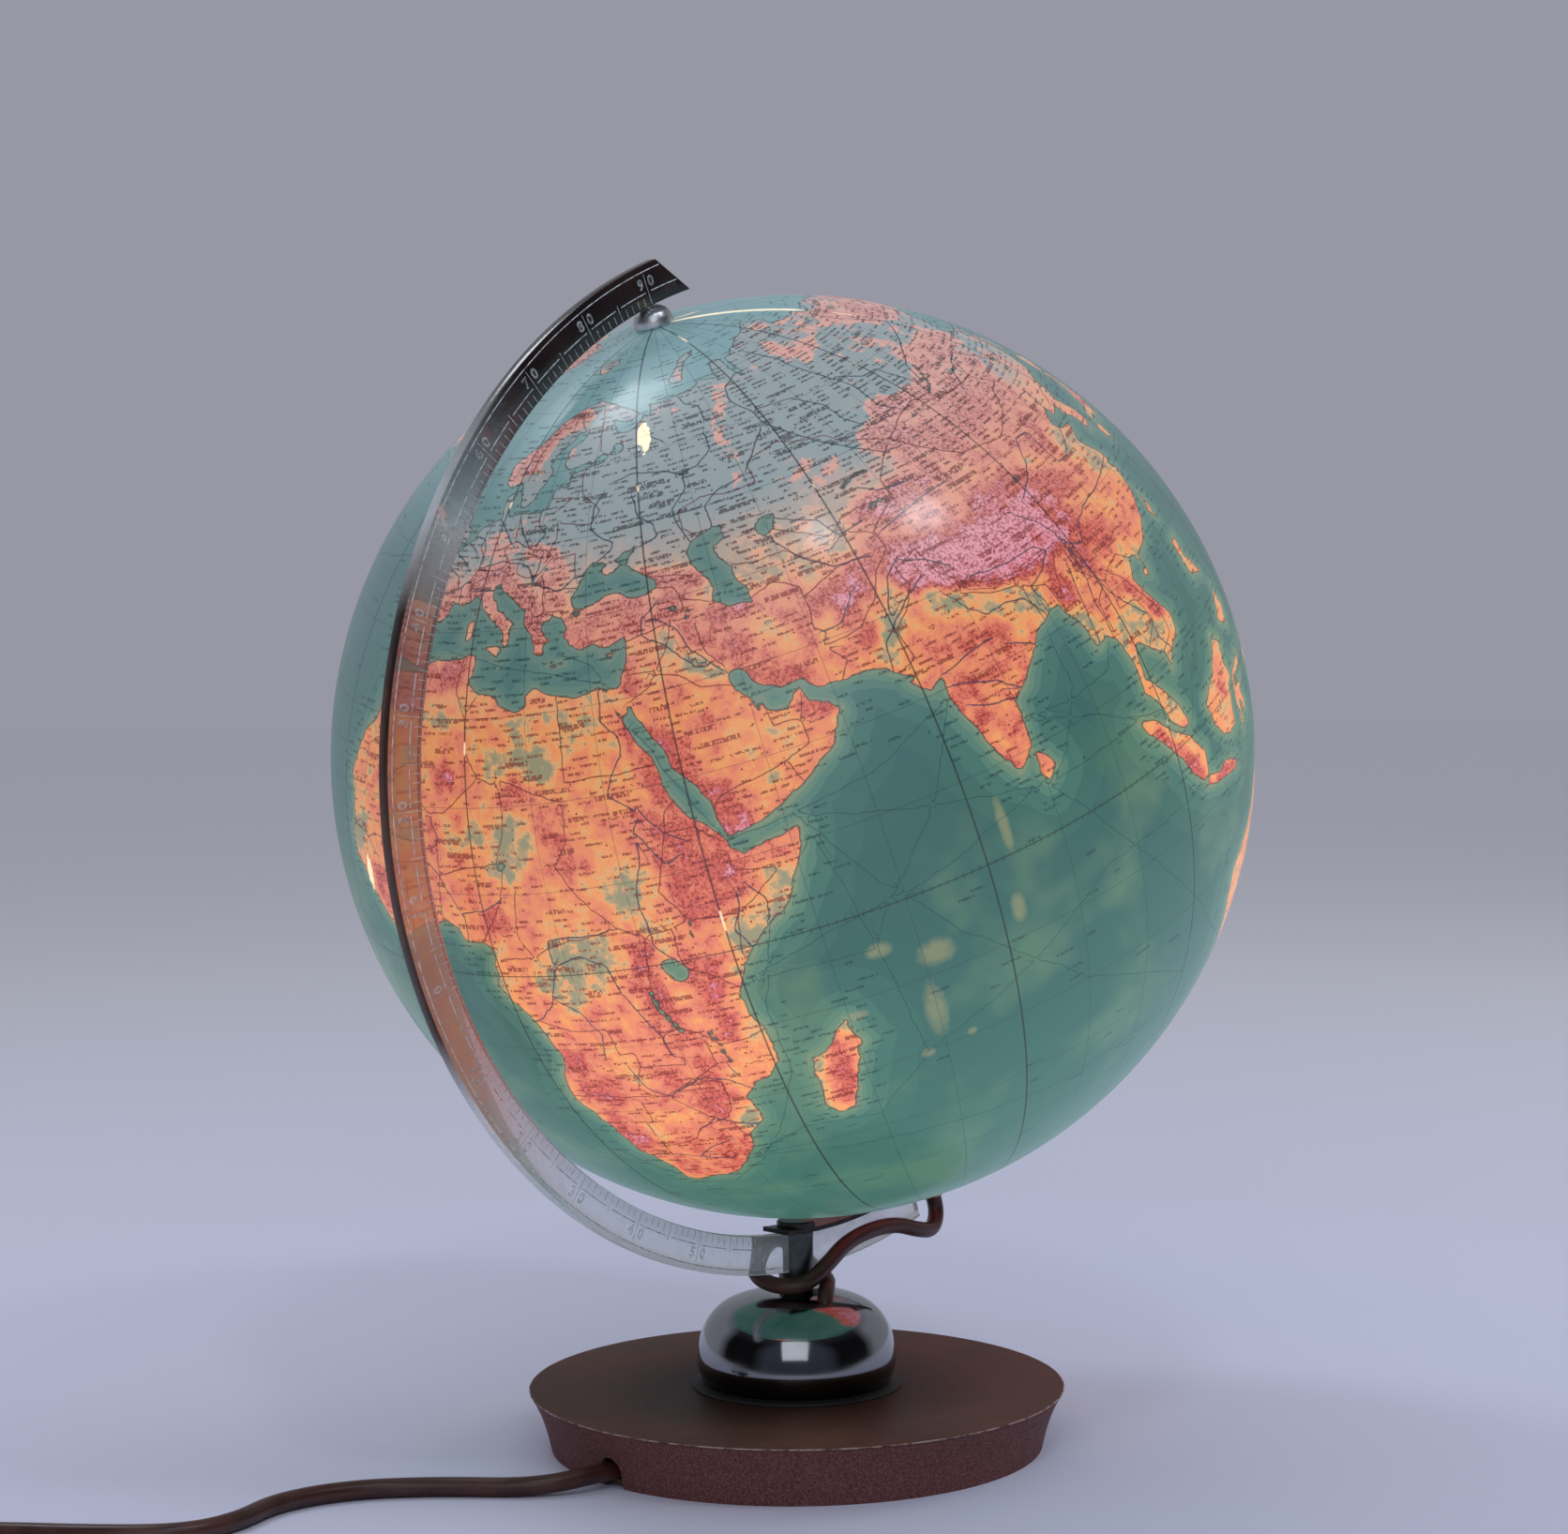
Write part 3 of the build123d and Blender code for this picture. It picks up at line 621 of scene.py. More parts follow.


# Outlines and routes are lists of "longitude latitude" in degrees, simplified.

land = {
    "africa": """-5.9 35.8, -6.8 34, -8.5 33.3, -9.8 31.4, -9.7 29.9, -11.1 28.8, -12.9 27.9,
        -14.5 26.1, -16 23.7, -17 21.9, -17 20.8, -16.2 19.1, -16.5 16.2, -17.5 14.7, -16.8 13,
        -16.7 12.3, -15.1 11, -13.7 9.5, -13.2 8.5, -11.4 6.9, -9.2 5, -7.5 4.4, -5 5.2, -3 5.1,
        -1.9 4.8, 0 5.6, 1.2 6.1, 3.4 6.4, 5 5.8, 5.9 4.3, 7.1 4.4, 8.5 4.6, 9.7 3.9, 9.8 2.5, 9.4 1,
        9.6 0.2, 8.8 -0.7, 9.3 -2, 10.7 -3.6, 11.9 -4.9, 12.4 -6.1, 13.2 -8.8, 13.8 -10.7, 13.4 -12.5,
        12.5 -13.8, 11.9 -15.8, 11.8 -17.8, 13.4 -20.9, 14.5 -22.9, 14.6 -25, 15.3 -27.5, 16.9 -29.1,
        18.2 -31.7, 18.2 -33, 18.4 -34.2, 19.9 -34.8, 21.8 -34.4, 23.6 -34, 25.6 -33.9, 27.5 -33.3,
        29.9 -31.3, 31.4 -29.4, 32.6 -28, 32.8 -26.1, 35.4 -24.3, 35.5 -22.2, 34.8 -19.8, 36.9 -17.9,
        39 -16.9, 40.6 -15, 40.6 -12.5, 40.4 -10.5, 39.4 -8, 39.4 -6.5, 38.9 -5.6, 39.7 -4, 41 -2,
        42.8 0, 44.8 2, 47 3.5, 48.9 6.2, 50 8, 50.8 9.8, 51.2 11.9, 49.5 11.4, 47 11.1, 44.6 10.5,
        43.2 11.6, 43 12.6, 41.4 14.5, 39.9 15.4, 39 16.4, 38 18.2, 37.3 20, 37.2 21.5, 36.5 23,
        35.5 24, 34.5 26.1, 33.6 27.8, 32.7 29.3, 32.5 30.2, 32.3 31.3, 31 31.6, 29.9 31.2, 28 31.1,
        25.2 31.6, 23.2 32.2, 21.7 32.9, 20.1 32.2, 20 30.9, 18.2 30.4, 15.7 31.4, 15.2 32.3,
        12.3 32.9, 11.1 33.2, 10 34.2, 10.6 35.3, 11.1 37, 9.8 37.3, 7.5 37, 5 36.8, 3 36.8, 0 35.9,
        -2 35.1, -4.5 35.2""",
    "eurasia": """32.3 31.3, 34.2 31.3, 34.9 32.8, 35.5 33.9, 35.9 35.5, 36 36.8, 34 36.3, 32.5 36.1,
        30.7 36.8, 29.2 36.3, 27.3 37, 26.3 38.3, 26.8 39, 26.2 40.1, 26 40.6, 24.4 40.9, 23.7 40.2,
        22.9 40.5, 22.6 39.5, 23.3 38.9, 24 38, 23 37.6, 23.1 36.6, 22.4 36.6, 21.6 36.9, 21.3 37.8,
        21 38.8, 19.4 40.5, 19.5 41.8, 17.5 43, 15.2 44.3, 14 45, 13.7 45.6, 12.4 45.3, 12.4 44.2,
        13.6 43.5, 14.1 42.4, 16 41.9, 16 41.4, 18.4 40.2, 17 40.5, 16.9 39.5, 17.1 38.9, 16.1 38,
        15.7 38.3, 16 39.5, 15.3 40.1, 14.2 40.8, 12.2 41.8, 10.5 42.9, 10.2 44, 8.8 44.4, 7.5 43.8,
        6 43.1, 4.2 43.5, 3.1 43.1, 3.2 41.9, 0.8 41, -0.3 39.5, 0.1 38.8, -0.7 37.7, -2.1 36.8,
        -4.4 36.7, -5.6 36, -6.4 36.8, -8.9 37, -9.4 38.8, -8.8 41, -9.2 43.1, -7.5 43.7, -3.8 43.5,
        -1.7 43.4, -1.2 44.7, -1.2 46, -2.5 47.3, -4.7 48.1, -4.5 48.7, -1.6 48.7, -1.8 49.7, 0.2 49.7,
        1.6 50.9, 3.5 51.5, 4.6 53, 7 53.6, 8.8 53.9, 8.3 55.3, 8.2 57, 10.6 57.7, 10.3 56.4, 9.8 55,
        11 54, 13.5 54.4, 16.5 54.5, 18.8 54.5, 20 54.8, 21 55.8, 21.1 57, 22.5 57.7, 24.2 57.2,
        24.4 58.4, 23.6 59.2, 26.5 59.5, 29.5 59.9, 28 60.6, 24.9 60.1, 22.9 59.9, 21.4 61, 21.5 62.8,
        25.2 64.9, 24.8 65.7, 22.3 65.6, 21.5 64.5, 18 62.6, 17.2 61, 18.8 60.1, 18 58.9, 16.6 57.5,
        16.4 56.2, 14.4 55.4, 12.9 55.4, 12.5 56.4, 11.5 58, 10.7 59.3, 8.3 58.1, 5.8 58.6, 5 60.5,
        5.2 62.1, 8.5 63.8, 10.8 64.5, 12.9 66.2, 14.8 67.9, 17.5 69.3, 20.5 70.1, 25.7 71.1,
        30.5 70.3, 33.5 69.4, 39 67.7, 41.1 66.7, 38.5 66.1, 33 66.6, 34.8 64.5, 37.5 63.9, 40 64.6,
        42.2 66.4, 44.2 66, 43.8 68.4, 46 67.8, 53.5 68.4, 59 68.9, 60.8 69.7, 64.9 69.3, 68.5 68.3,
        67 69.6, 66.8 71.1, 68.6 72.8, 72.8 72.8, 72.6 71, 72.5 69, 74 67, 74.9 72.1, 78.5 72.4,
        80.7 73.5, 87 75, 98 76.2, 104.3 77.7, 113.5 75.9, 109.5 74, 113 73.7, 123 73, 127 73.4,
        129 71.3, 133 71.6, 140 72.5, 150 71.5, 160 69.7, 170 70, 178 69.3, 190 66, 182.5 65,
        177.5 62.5, 170.3 60, 163.5 59.5, 163.2 57.8, 162 55, 156.7 51, 155.6 55, 156 57, 160 60.5,
        163.5 62.5, 157 61.8, 154.5 59.5, 149 59.5, 142.5 59.2, 135.2 54.9, 137.5 53.7, 141.3 53.2,
        140.3 50, 140 48, 135.5 44, 131 42.7, 129.7 41, 127.5 39.8, 129.4 37, 129 35.2, 126.5 34.5,
        126.5 37, 125 37.9, 125.2 39.6, 121.6 39, 121.9 40.8, 119 39.2, 117.8 38.8, 119 37.3,
        122.5 37.2, 119.4 35.1, 120.9 33, 121.9 31.4, 120.7 30.3, 122 29.5, 119.6 25.8, 117 23.6,
        114.2 22.3, 110.4 21.2, 109.9 20.4, 109.7 21.5, 108 21.6, 106 19.5, 107.5 16.5, 109.3 13.5,
        109 11.5, 106.7 10.4, 104.8 8.6, 104.8 10.3, 102.5 12, 100.9 13.4, 100 13.4, 99.3 11, 99.2 9.5,
        100.3 8.5, 101.5 6.8, 103.4 4.5, 104.2 1.4, 103 1.6, 101.3 3, 100.3 5.5, 98.3 8, 98.6 11,
        97.7 15.5, 96.3 16.5, 94.4 16, 94 18.8, 92.3 21, 91.8 22.4, 90.5 22.2, 89 21.7, 87 21.2,
        85.5 19.7, 82.3 16.7, 80.1 15.5, 80.2 13.2, 79.8 10.4, 78.2 8.8, 77.5 8.1, 76.3 10, 74.8 13,
        73.3 17, 72.8 19.3, 72.8 21.2, 72.2 21.2, 70.9 20.7, 69 22.3, 70 22.7, 68.4 23.6, 67 24.8,
        64.5 25.3, 61.5 25.1, 58.5 25.6, 57 26.9, 54 26.6, 51.5 27.9, 50.5 29.6, 50 30.1, 48.5 30,
        48 29.4, 48.7 28, 50.1 26.6, 50.8 24.8, 51.3 26.1, 51.6 24.6, 54 24.2, 56.3 26.2, 56.8 24.3,
        58.7 23.6, 59.8 22.4, 58.6 20.4, 57.8 18.9, 55.3 17.4, 52.2 15.6, 49 14.1, 45 12.8, 43.5 12.7,
        42.8 15, 42.6 16.7, 41 19, 39.1 21.5, 38.5 23.5, 37.2 25, 35.5 27.9, 34.9 29.4, 34.3 27.8,
        33.2 28.6, 32.5 29.9, 31.9 30.6""",
    "madagascar": """49.3 -12, 50.5 -15.6, 49.7 -16, 49.4 -18, 47.1 -24.9, 45.2 -25.6, 43.7 -23.5,
        44.4 -20, 44 -18.5, 44.4 -16.2, 46.3 -15.7, 48 -13.6""",
    "ceylon": "79.9 9.7, 81.3 8.5, 81.9 7, 80.6 5.9, 79.9 7",
    "britain": """-5.7 50.1, -3 50.7, 1.3 51.2, 1.7 52.7, 0.2 53, -0.5 54.5, -2 55.8, -3 56.2,
        -1.9 57.6, -4 57.8, -3.1 58.6, -5 58.6, -6.1 56.8, -4.8 54.8, -3 54, -4.5 53.3, -4.2 52.4,
        -5.1 51.8, -3 51.3, -5 50.6""",
    "ireland": "-6 52.2, -6.1 54, -5.6 54.7, -7.3 55.3, -8.5 54.4, -10 53.8, -9.5 52, -8 51.7",
    "iceland": """-22.5 64, -18.7 63.4, -14.6 64.4, -14.9 65.8, -16.2 66.5, -20.4 66, -22.5 66.4,
        -24.3 65.5""",
    "sicily": "12.5 38, 15.6 38.2, 15.1 36.7",
    "sardinia": "8.3 40.9, 9.6 41.1, 9.6 39.2, 8.5 39",
    "corsica": "8.7 42.4, 9.4 43, 9.4 41.6",
    "crete": "23.6 35.5, 26.3 35.2, 24.8 34.9",
    "cyprus": "32.4 35, 34.5 35.6, 33.2 34.6",
    "honshu": """130.9 34, 132.5 35.4, 136 35.7, 136.9 37.3, 139.5 38.5, 140.3 41.2, 141.5 41.4,
        142 39.5, 140.9 37.5, 140.8 35.7, 138.8 34.8, 135.8 33.5, 135 34.6, 132.5 34.2""",
    "kyushu": "130.9 33.9, 132 33, 131.3 31.4, 130.3 31.2, 129.7 33",
    "hokkaido": "140.1 41.5, 140.4 43.3, 141.7 45.5, 145.3 43.6, 143.2 42",
    "sakhalin": "142 46, 141.9 49, 142 53.5, 143.2 53.5, 143.3 50, 143 47",
    "taiwan": "120.1 23, 121.5 25.3, 121 22",
    "hainan": "108.7 19, 110.5 20.1, 110 18.4",
    "luzon": "120.3 16, 120.6 18.5, 122.2 18.5, 121.6 16, 124 13, 120.6 13.9",
    "mindanao": "122 7, 123.5 8.6, 125.5 9.8, 126.5 7.5, 125.4 5.6",
    "borneo": """109 1.5, 109.6 2, 111.3 2.7, 113 3.2, 116 6, 116.8 7, 119.2 5.2, 117.8 3.6, 118.9 1,
        117.5 0.5, 116.5 -1.8, 116.2 -3.8, 114.6 -4.1, 111.8 -3.5, 110 -1.5""",
    "sumatra": """95.3 5.6, 97.5 5.2, 100.4 2.8, 103.5 0, 106 -3, 105.8 -5.8, 104.5 -5.8, 102.3 -4,
        100.4 -1, 98.7 1.7, 96 4""",
    "java": """105.2 -6.8, 106.1 -5.9, 108.6 -6.7, 110.9 -6.4, 112.6 -6.9, 114.5 -7.8, 114.4 -8.7,
        111 -8.3, 108.3 -7.8""",
    "celebes": """119.5 -5.5, 119.5 -3.5, 118.8 -2.7, 119.8 0.8, 121 1.2, 125 1.5, 124.3 0.4,
        120.3 0.5, 120.1 -0.9, 123.3 -0.9, 121.5 -1.9, 122.5 -3.5, 122.9 -4.4, 121.5 -4.6, 120.9 -2.7,
        120.3 -3, 120.4 -5.5""",
    "newGuinea": """131.2 -0.8, 134.1 -0.8, 135.2 -3.3, 137.8 -1.5, 141 -2.6, 145.8 -5, 147.8 -6.2,
        147 -6.8, 150.7 -10.4, 147.2 -9.5, 144.5 -7.7, 142.5 -9.2, 139.5 -8.1, 138 -8, 138.8 -7,
        137.7 -5.2, 133 -4.1, 132.8 -2.7, 131.5 -1.5""",
    "australia": """113.7 -22.5, 113.4 -26, 115 -30, 115.7 -33.5, 118 -35, 121.8 -33.9, 124 -33,
        128 -31.9, 131.5 -31.5, 134 -32.8, 136 -34.9, 137.8 -33, 138 -35.6, 140 -37.5, 143.5 -38.8,
        146.4 -39.1, 150 -37.4, 151.3 -33.5, 153.1 -31, 153.4 -28, 153 -25.5, 150.8 -23.3, 147.5 -19.8,
        146 -18.5, 145.4 -15, 143.7 -14.3, 142.5 -10.8, 141.6 -13, 140.9 -17.4, 139.3 -17.6, 135.5 -15,
        136.8 -12.2, 132.5 -11.3, 130.2 -12.8, 129.5 -15, 127 -14, 125 -15.5, 123.5 -17, 122.1 -18.2,
        119 -20, 116.7 -20.8, 114.2 -21.9""",
    "tasmania": "144.7 -40.8, 148.2 -40.9, 147.5 -43.3, 146 -43.5",
    "northIsland": """172.7 -34.5, 175.5 -36.5, 178.4 -37.7, 177 -39.4, 175.3 -41.6, 174 -39.4,
        174.8 -37.8""",
    "southIsland": """172.7 -40.6, 174.2 -41.7, 172.8 -43.8, 170.7 -45.9, 168.4 -46.6, 166.6 -45.8,
        168.5 -44, 171.4 -42.2""",
    "greenland": """-73 78.2, -60 82, -32 83.6, -18 80, -20 75, -22 71.5, -32 68.2, -40 65, -43.5 60,
        -49 62, -53.5 67, -54.5 70.5, -60 76, -68 76""",
    "svalbard": "11 79.5, 22 80.4, 25 79, 17 76.7",
    "novayaZemlya": """51.5 71.5, 55 73.5, 60 75.8, 68 77, 66 76, 60 74.3, 57 72.5, 56.5 70.8,
        53.5 70.8""",
    "northAmerica": """-168 65.7, -166 61.8, -162 60, -158 58.7, -164 54.8, -154 58, -150 61,
        -145 60.3, -138 59, -133 56, -130 54, -127.5 51, -124.5 48.3, -124 44, -124.3 40.4, -122 36.8,
        -120.5 34.5, -117.2 32.8, -114.8 28, -112 24.8, -109.8 23, -111.3 26.5, -114.7 31.5,
        -112.5 29.5, -109.3 26, -105.5 21.5, -105 19, -101.5 17.6, -96 15.8, -92 14.5, -87.5 13,
        -85.8 10.5, -83 8.3, -80.2 7.4, -78.5 8.8, -77.3 8.5, -79.5 9.5, -82.5 9.3, -83.5 11, -83.4 15,
        -88 15.8, -88 18.3, -87 21.4, -90.4 21, -91 18.7, -94.5 18.2, -97.5 21.5, -97.3 27, -94.5 29.5,
        -90 29.2, -85.5 30, -83 29, -81.8 26, -80.3 25.3, -81.3 30.5, -78 34, -75.7 35.4, -75.9 37,
        -74 40.3, -70 41.8, -70.2 43.7, -66 44.5, -65.7 43.5, -61 45.5, -64.5 46.5, -65 48.9, -69 48.3,
        -60 50, -56 52.2, -57 54.7, -62 57, -65 60, -70 61, -74 62.4, -78 62.4, -77.5 58, -79 54.7,
        -79 51.5, -82.3 52.9, -82.3 55.2, -88 56.7, -93 58.8, -94.5 61, -91 63, -87 64.3, -86 66.3,
        -81.5 67.2, -84 69.7, -94 71.8, -96 68.2, -108 68, -115 68, -124 70, -135 69, -141 69.7,
        -156 71.3, -166 68.3, -161.9 66.3""",
    "baffin": "-61.5 66.5, -65 63, -72 63, -78 64.5, -73 66.5, -79 70, -89 71, -80 73.7, -68 70.5",
    "victoriaIsland": "-105 69, -117 70, -118 73, -106 73.5",
    "ellesmere": "-62 82.5, -78 83, -92 81, -88 77, -77 76.5",
    "newfoundland": "-59.3 47.6, -53 46.7, -55.5 51.5",
    "cuba": "-84.5 21.9, -82 23.1, -80 23, -76 20.8, -74.3 20.2, -77.5 19.9, -78.5 21.2, -82 22.3",
    "southAmerica": """-77.3 8.5, -75.5 10.7, -71.5 12.3, -71 11, -64 10.6, -61 10, -60 8.5, -57 6,
        -52 4.8, -50 1.8, -48 -1, -44 -2.6, -40 -3, -37 -4.9, -35 -6.5, -34.9 -8, -37 -11.5, -39 -13.5,
        -39 -18, -41 -22, -44.5 -23.2, -48.5 -26, -48.6 -28.3, -52 -32.5, -55 -34.8, -58.2 -34,
        -57 -36.5, -58 -38.2, -62.2 -39, -65 -41, -63.7 -42.5, -67 -46, -65.8 -48, -69 -51, -68.5 -53,
        -66 -55, -70 -55, -74 -52, -75.5 -48, -74 -43, -73.5 -38, -71.5 -33, -70.3 -25, -70.2 -19,
        -76.3 -13.8, -81.2 -6, -80 -3, -80.5 -1, -80 1, -77.5 3.8, -77.5 7.5""",
    "antarctica": """-180 -90, 180 -90, 180 -78, 165 -78, 170 -72, 150 -68.5, 130 -66.5, 110 -66,
        90 -66.5, 70 -68, 55 -66.5, 40 -69, 20 -70, 0 -69.5, -20 -73, -35 -78, -60 -75, -62 -66,
        -57 -63.5, -68 -69, -80 -73, -100 -72, -125 -74, -150 -77, -180 -78""",
}
inlandSeas = {
    "black": """28 41.6, 29.1 41.3, 31.4 41.3, 33.3 42, 35.1 42, 36.4 41.3, 38.4 41, 41.5 41.6,
        41.4 42.7, 39.7 43.6, 37.4 44.8, 36.6 45.4, 35.2 45.1, 33.6 44.4, 32.6 45.4, 33.6 46.1,
        31.5 46.6, 30 45.6, 28.6 43.9, 27.6 42.5""",
    "azov": "35.2 45.4, 36.8 45.4, 38 46.6, 39.2 47.2, 37 46.9, 35 46.2",
    "marmara": "26.9 40.5, 28.9 40.5, 29 41, 27.5 41",
    "caspian": """47.5 43, 49 41, 49.5 40.2, 49 38.4, 50.4 37.3, 53.9 36.8, 53.9 39, 52.8 40.5,
        52.9 41.8, 51.2 43.2, 51 44.5, 53 45.3, 53 46.9, 51 47, 49 46.4, 47.6 45.6, 46.9 44.5""",
    "aral": "58.3 45.5, 59 46.4, 61.8 46.5, 60.9 44.5, 59 43.7, 58.2 44.5",
}
lakes = [                                # half width in degrees, then the line along the middle
    (1.1, "32.6 -0.6, 33.2 -1.4"), (0.36, "29.2 -3.5, 29.6 -6, 30.9 -8.6"),
    (0.32, "34 -9.6, 34.6 -11.5, 35 -14"), (0.3, "103.8 51.6, 106 52.5, 109.8 55.6"),
    (0.45, "14 13.2, 14.4 13.4"), (0.22, "36 2.6, 36.2 4.3"), (0.2, "30.6 1.3, 31.2 2"),
    (0.6, "30.7 60.5, 32 60.9"), (0.5, "35.2 61.4, 35.6 62.2"), (0.25, "74 46, 76.5 46.6, 79 46.5"),
    (0.25, "76.3 42.3, 78.2 42.5"), (0.5, "-91 47, -88 47.8, -85 47"), (0.7, "-87.2 42.2, -86.8 45.2"),
    (0.7, "-82.3 43.8, -83 45.6"), (0.3, "-83 41.6, -79.2 42.8"), (0.3, "-79 43.5, -76.8 43.6"),
    (0.9, "-124 65.5, -119 66.3"), (0.35, "-115.5 61.5, -110.5 62.5"), (0.4, "-98.2 50.5, -97.5 53.5"),
    (0.3, "-70 -15.5, -69 -16.3"), (0.25, "44.8 37.2, 45.4 38"), (0.3, "42.6 38.6, 43.2 38.6"),
    (0.3, "99.8 36.8, 100.6 37"),
]

# Lines of each kind, parted by semicolons.

rivers = """
    31.2 31.3, 31.1 30, 30.8 28, 32.7 26, 32.8 24, 31.2 21.8, 30.5 19.5, 33 18, 33.8 17, 32.5 15.6,
        32.5 12, 31.5 9.5, 31.2 7, 31.6 5, 31.4 2.5, 33.2 0.4;
    32.5 15.6, 34.5 12.5, 35.5 11, 37.3 11.7;
    33.9 17.6, 36 14.5, 38 13.5;
    12.4 -6, 14 -5.4, 15.8 -4, 17.2 -1, 18.5 1.3, 22 2.1, 25 0.8, 25.8 -3, 27 -6, 28.5 -9, 28.6 -11.5;
    17.6 -0.5, 18.2 2, 18.6 4.3, 22.5 4.5, 27 5;
    16.5 -3, 19.5 -5, 21 -8, 20 -11;
    6.2 4.5, 6.6 7, 5 10, 3.4 12, 0.5 14.8, -1.8 16.8, -4 15.2, -6 13.4, -9 11;
    6.7 7.8, 10 8, 13.3 9.5;
    36.3 -18.7, 33.5 -16.5, 31 -15.6, 28 -16.8, 25.8 -17.8, 23.3 -16.5, 22.5 -13;
    16.6 -28.6, 19.5 -28.7, 22 -28.8, 25 -29.8, 27.8 -30.4;
    24.4 -28.9, 27 -27.3, 29.5 -26.6;
    35.2 -24.8, 32 -23.8, 29.5 -22.2, 27 -24;
    -16.5 15.8, -14.5 16.6, -12.5 15.2, -10.5 13.5;
    42.6 -0.3, 41 2, 42 4, 42.5 6.5;
    45 2.5, 45.3 4.8, 43.8 7;
    48 30, 46 32, 44.4 33.3, 43 36, 41.5 37.3, 39.8 38.3;
    47.3 31, 44.5 31.5, 42 34, 40.5 35.2, 38.3 36.5, 38.5 38.5, 40.5 39.8;
    67.6 24, 68.3 27, 70.5 29, 71 31.5, 72.4 34, 75 35.5, 78 34, 81 32;
    71 29.3, 73.5 31, 76.5 32.5;
    89.5 22.3, 88 25, 85 25.6, 82 25.4, 80 26.8, 78.3 29.5;
    90.5 23.5, 89.8 25.7, 93 26.6, 95.5 28, 94 29.3, 89 29.3, 83 30;
    95 16, 95.3 19, 95.8 22, 97 25.5;
    97.6 16.5, 97.5 20, 98.7 24, 98.8 28;
    106.5 10, 105.2 12.5, 105 15.5, 102.5 18, 100.5 20.5, 100 24, 98.7 28.5;
    121.5 31.5, 117.5 30.8, 114.5 30.5, 111.5 30, 107 29.6, 104 28.6, 102 26.5, 99.5 27.5, 98 31,
        95 33.5;
    118.8 37.7, 116 36.2, 113.5 34.9, 110.5 35, 110.6 38, 111 40.3, 107.5 40.6, 104.5 37.5, 101.5 36,
        98.5 34.5;
    141 53, 137 50, 134.5 48.4, 131 47.8, 127.5 50, 123 53.3, 119.5 53, 115 51.5, 110.5 49;
    127 72.5, 124 68, 126.5 65, 129.8 62, 124 60.5, 118 59, 108.5 56.5, 106 53.8;
    82.5 71.5, 86.8 68, 88 65, 90 61, 92.5 57.5, 92 54, 95 51.8;
    90 60.8, 97 58.4, 102 58.3, 104.5 53.5, 104 52;
    72.5 68.5, 66.6 66.6, 65.8 64, 68.5 61, 73.5 61.1, 78 60.6, 82.8 57.5, 83.8 54, 85.8 52.4;
    68.8 61, 69.5 58.5, 73 55.5, 77 52.3, 80.5 50, 84 48, 88 47.6;
    68 58, 64.5 55.3, 61 53;
    48 46, 46.5 48.4, 46 50.8, 49 53.3, 49.2 55.3, 46 56.2, 42.5 57, 38.5 57.5, 35 56.8;
    49 55.3, 52.5 55.8, 56 57.8, 56 60.2;
    39.3 47.1, 42.5 47.8, 42.2 49.5, 39.5 51, 38.8 53.8;
    32 46.6, 34.6 47.6, 34.8 48.6, 32 49.8, 30.6 51, 30.8 53.5, 32.5 55.2;
    29.6 45.2, 27.8 45.2, 25.5 43.7, 22.5 44.3, 20.3 45, 19 47, 17 48, 13 48.5, 9 48;
    21 48.5, 20.3 46.3, 20.3 45.1;
    4.5 51.9, 6.5 51.5, 7.8 49.8, 7.6 47.8, 9.4 47.4;
    9 53.8, 12 52, 13.8 50.8;
    14.5 53.5, 16.5 51.5, 18 50;
    19 54.3, 19.5 52.5, 21.5 51.5, 19.5 50;
    4.8 43.5, 4.8 45.8, 6.5 46.3;
    12.4 45, 9.5 45.1, 7.5 45;
    -1 45.4, 1.2 44.4;
    -2 47.2, 1 47.4, 3 47, 4 45.3;
    0.3 49.5, 2.2 48.9, 4.5 48;
    -9 38.8, -6 39.8, -2.5 40.5;
    0.8 40.8, -1.5 41.8, -3.5 42.8;
    53 67.9, 54.5 66.2, 57.3 65, 57 62.5;
    40.5 64.6, 44 62, 46.5 61;
    51.8 47, 51.5 50, 55 51.8, 58.5 52;
    61 46, 64 44.7, 67.5 43.5, 69.5 40.8, 73.5 41.2;
    59.5 43.6, 62.5 40, 66.5 37.5, 71.5 37.2;
    76 45, 79 43.8, 83.5 43.5;
    89 41, 83 41, 79 40, 75.5 39.3;
    61.5 31, 64.5 31.4, 67.5 34.3;
    82 16.3, 79 18.5, 75.5 19.6, 73.7 20;
    80.8 15.8, 78 16.2, 75 17.2;
    85.8 20.2, 83 21.3;
    73 21.5, 77 22.5, 81 22.8;
    121.5 41, 123.5 43.5, 119 43.5;
    -50 0.5, -55 -2.3, -60 -3.2, -66 -3, -71 -4, -74 -4.8, -76 -9;
    -60 -3.2, -63 -7.5, -65.5 -11;
    -60 8.6, -64 8, -67.5 6.5, -67 3;
    -58.3 -34, -58.5 -31, -57 -27.5, -53 -24, -48 -20;
    -58.5 -27.3, -57.7 -22, -57.8 -17;
    -89.5 29.3, -91 32, -89.7 36, -90.5 39, -91.5 43, -94 46;
    -89.5 37, -84 38.8, -80.3 40.5;
    -90.3 38.8, -95 40, -98 43, -104 47.8, -110 47.5;
    -97.2 26, -100 28.5, -104.5 30, -106.5 33, -106.5 37;
    -114.7 31.8, -114.5 35, -111 37.5, -108.5 39.5;
    -124 46.2, -119 46, -118 49, -116.5 51.5;
    -135 69, -130 66, -124.5 62.5, -117 61.2, -112 58.5;
    -164.5 62.8, -158 64.8, -150 65.3, -140 64.5, -135 61.5;
    -68 49, -73 46, -76.5 44.2;
    139 -35.5, 142 -34.2, 146 -36;
    142 -34.2, 145 -31, 149 -29
"""
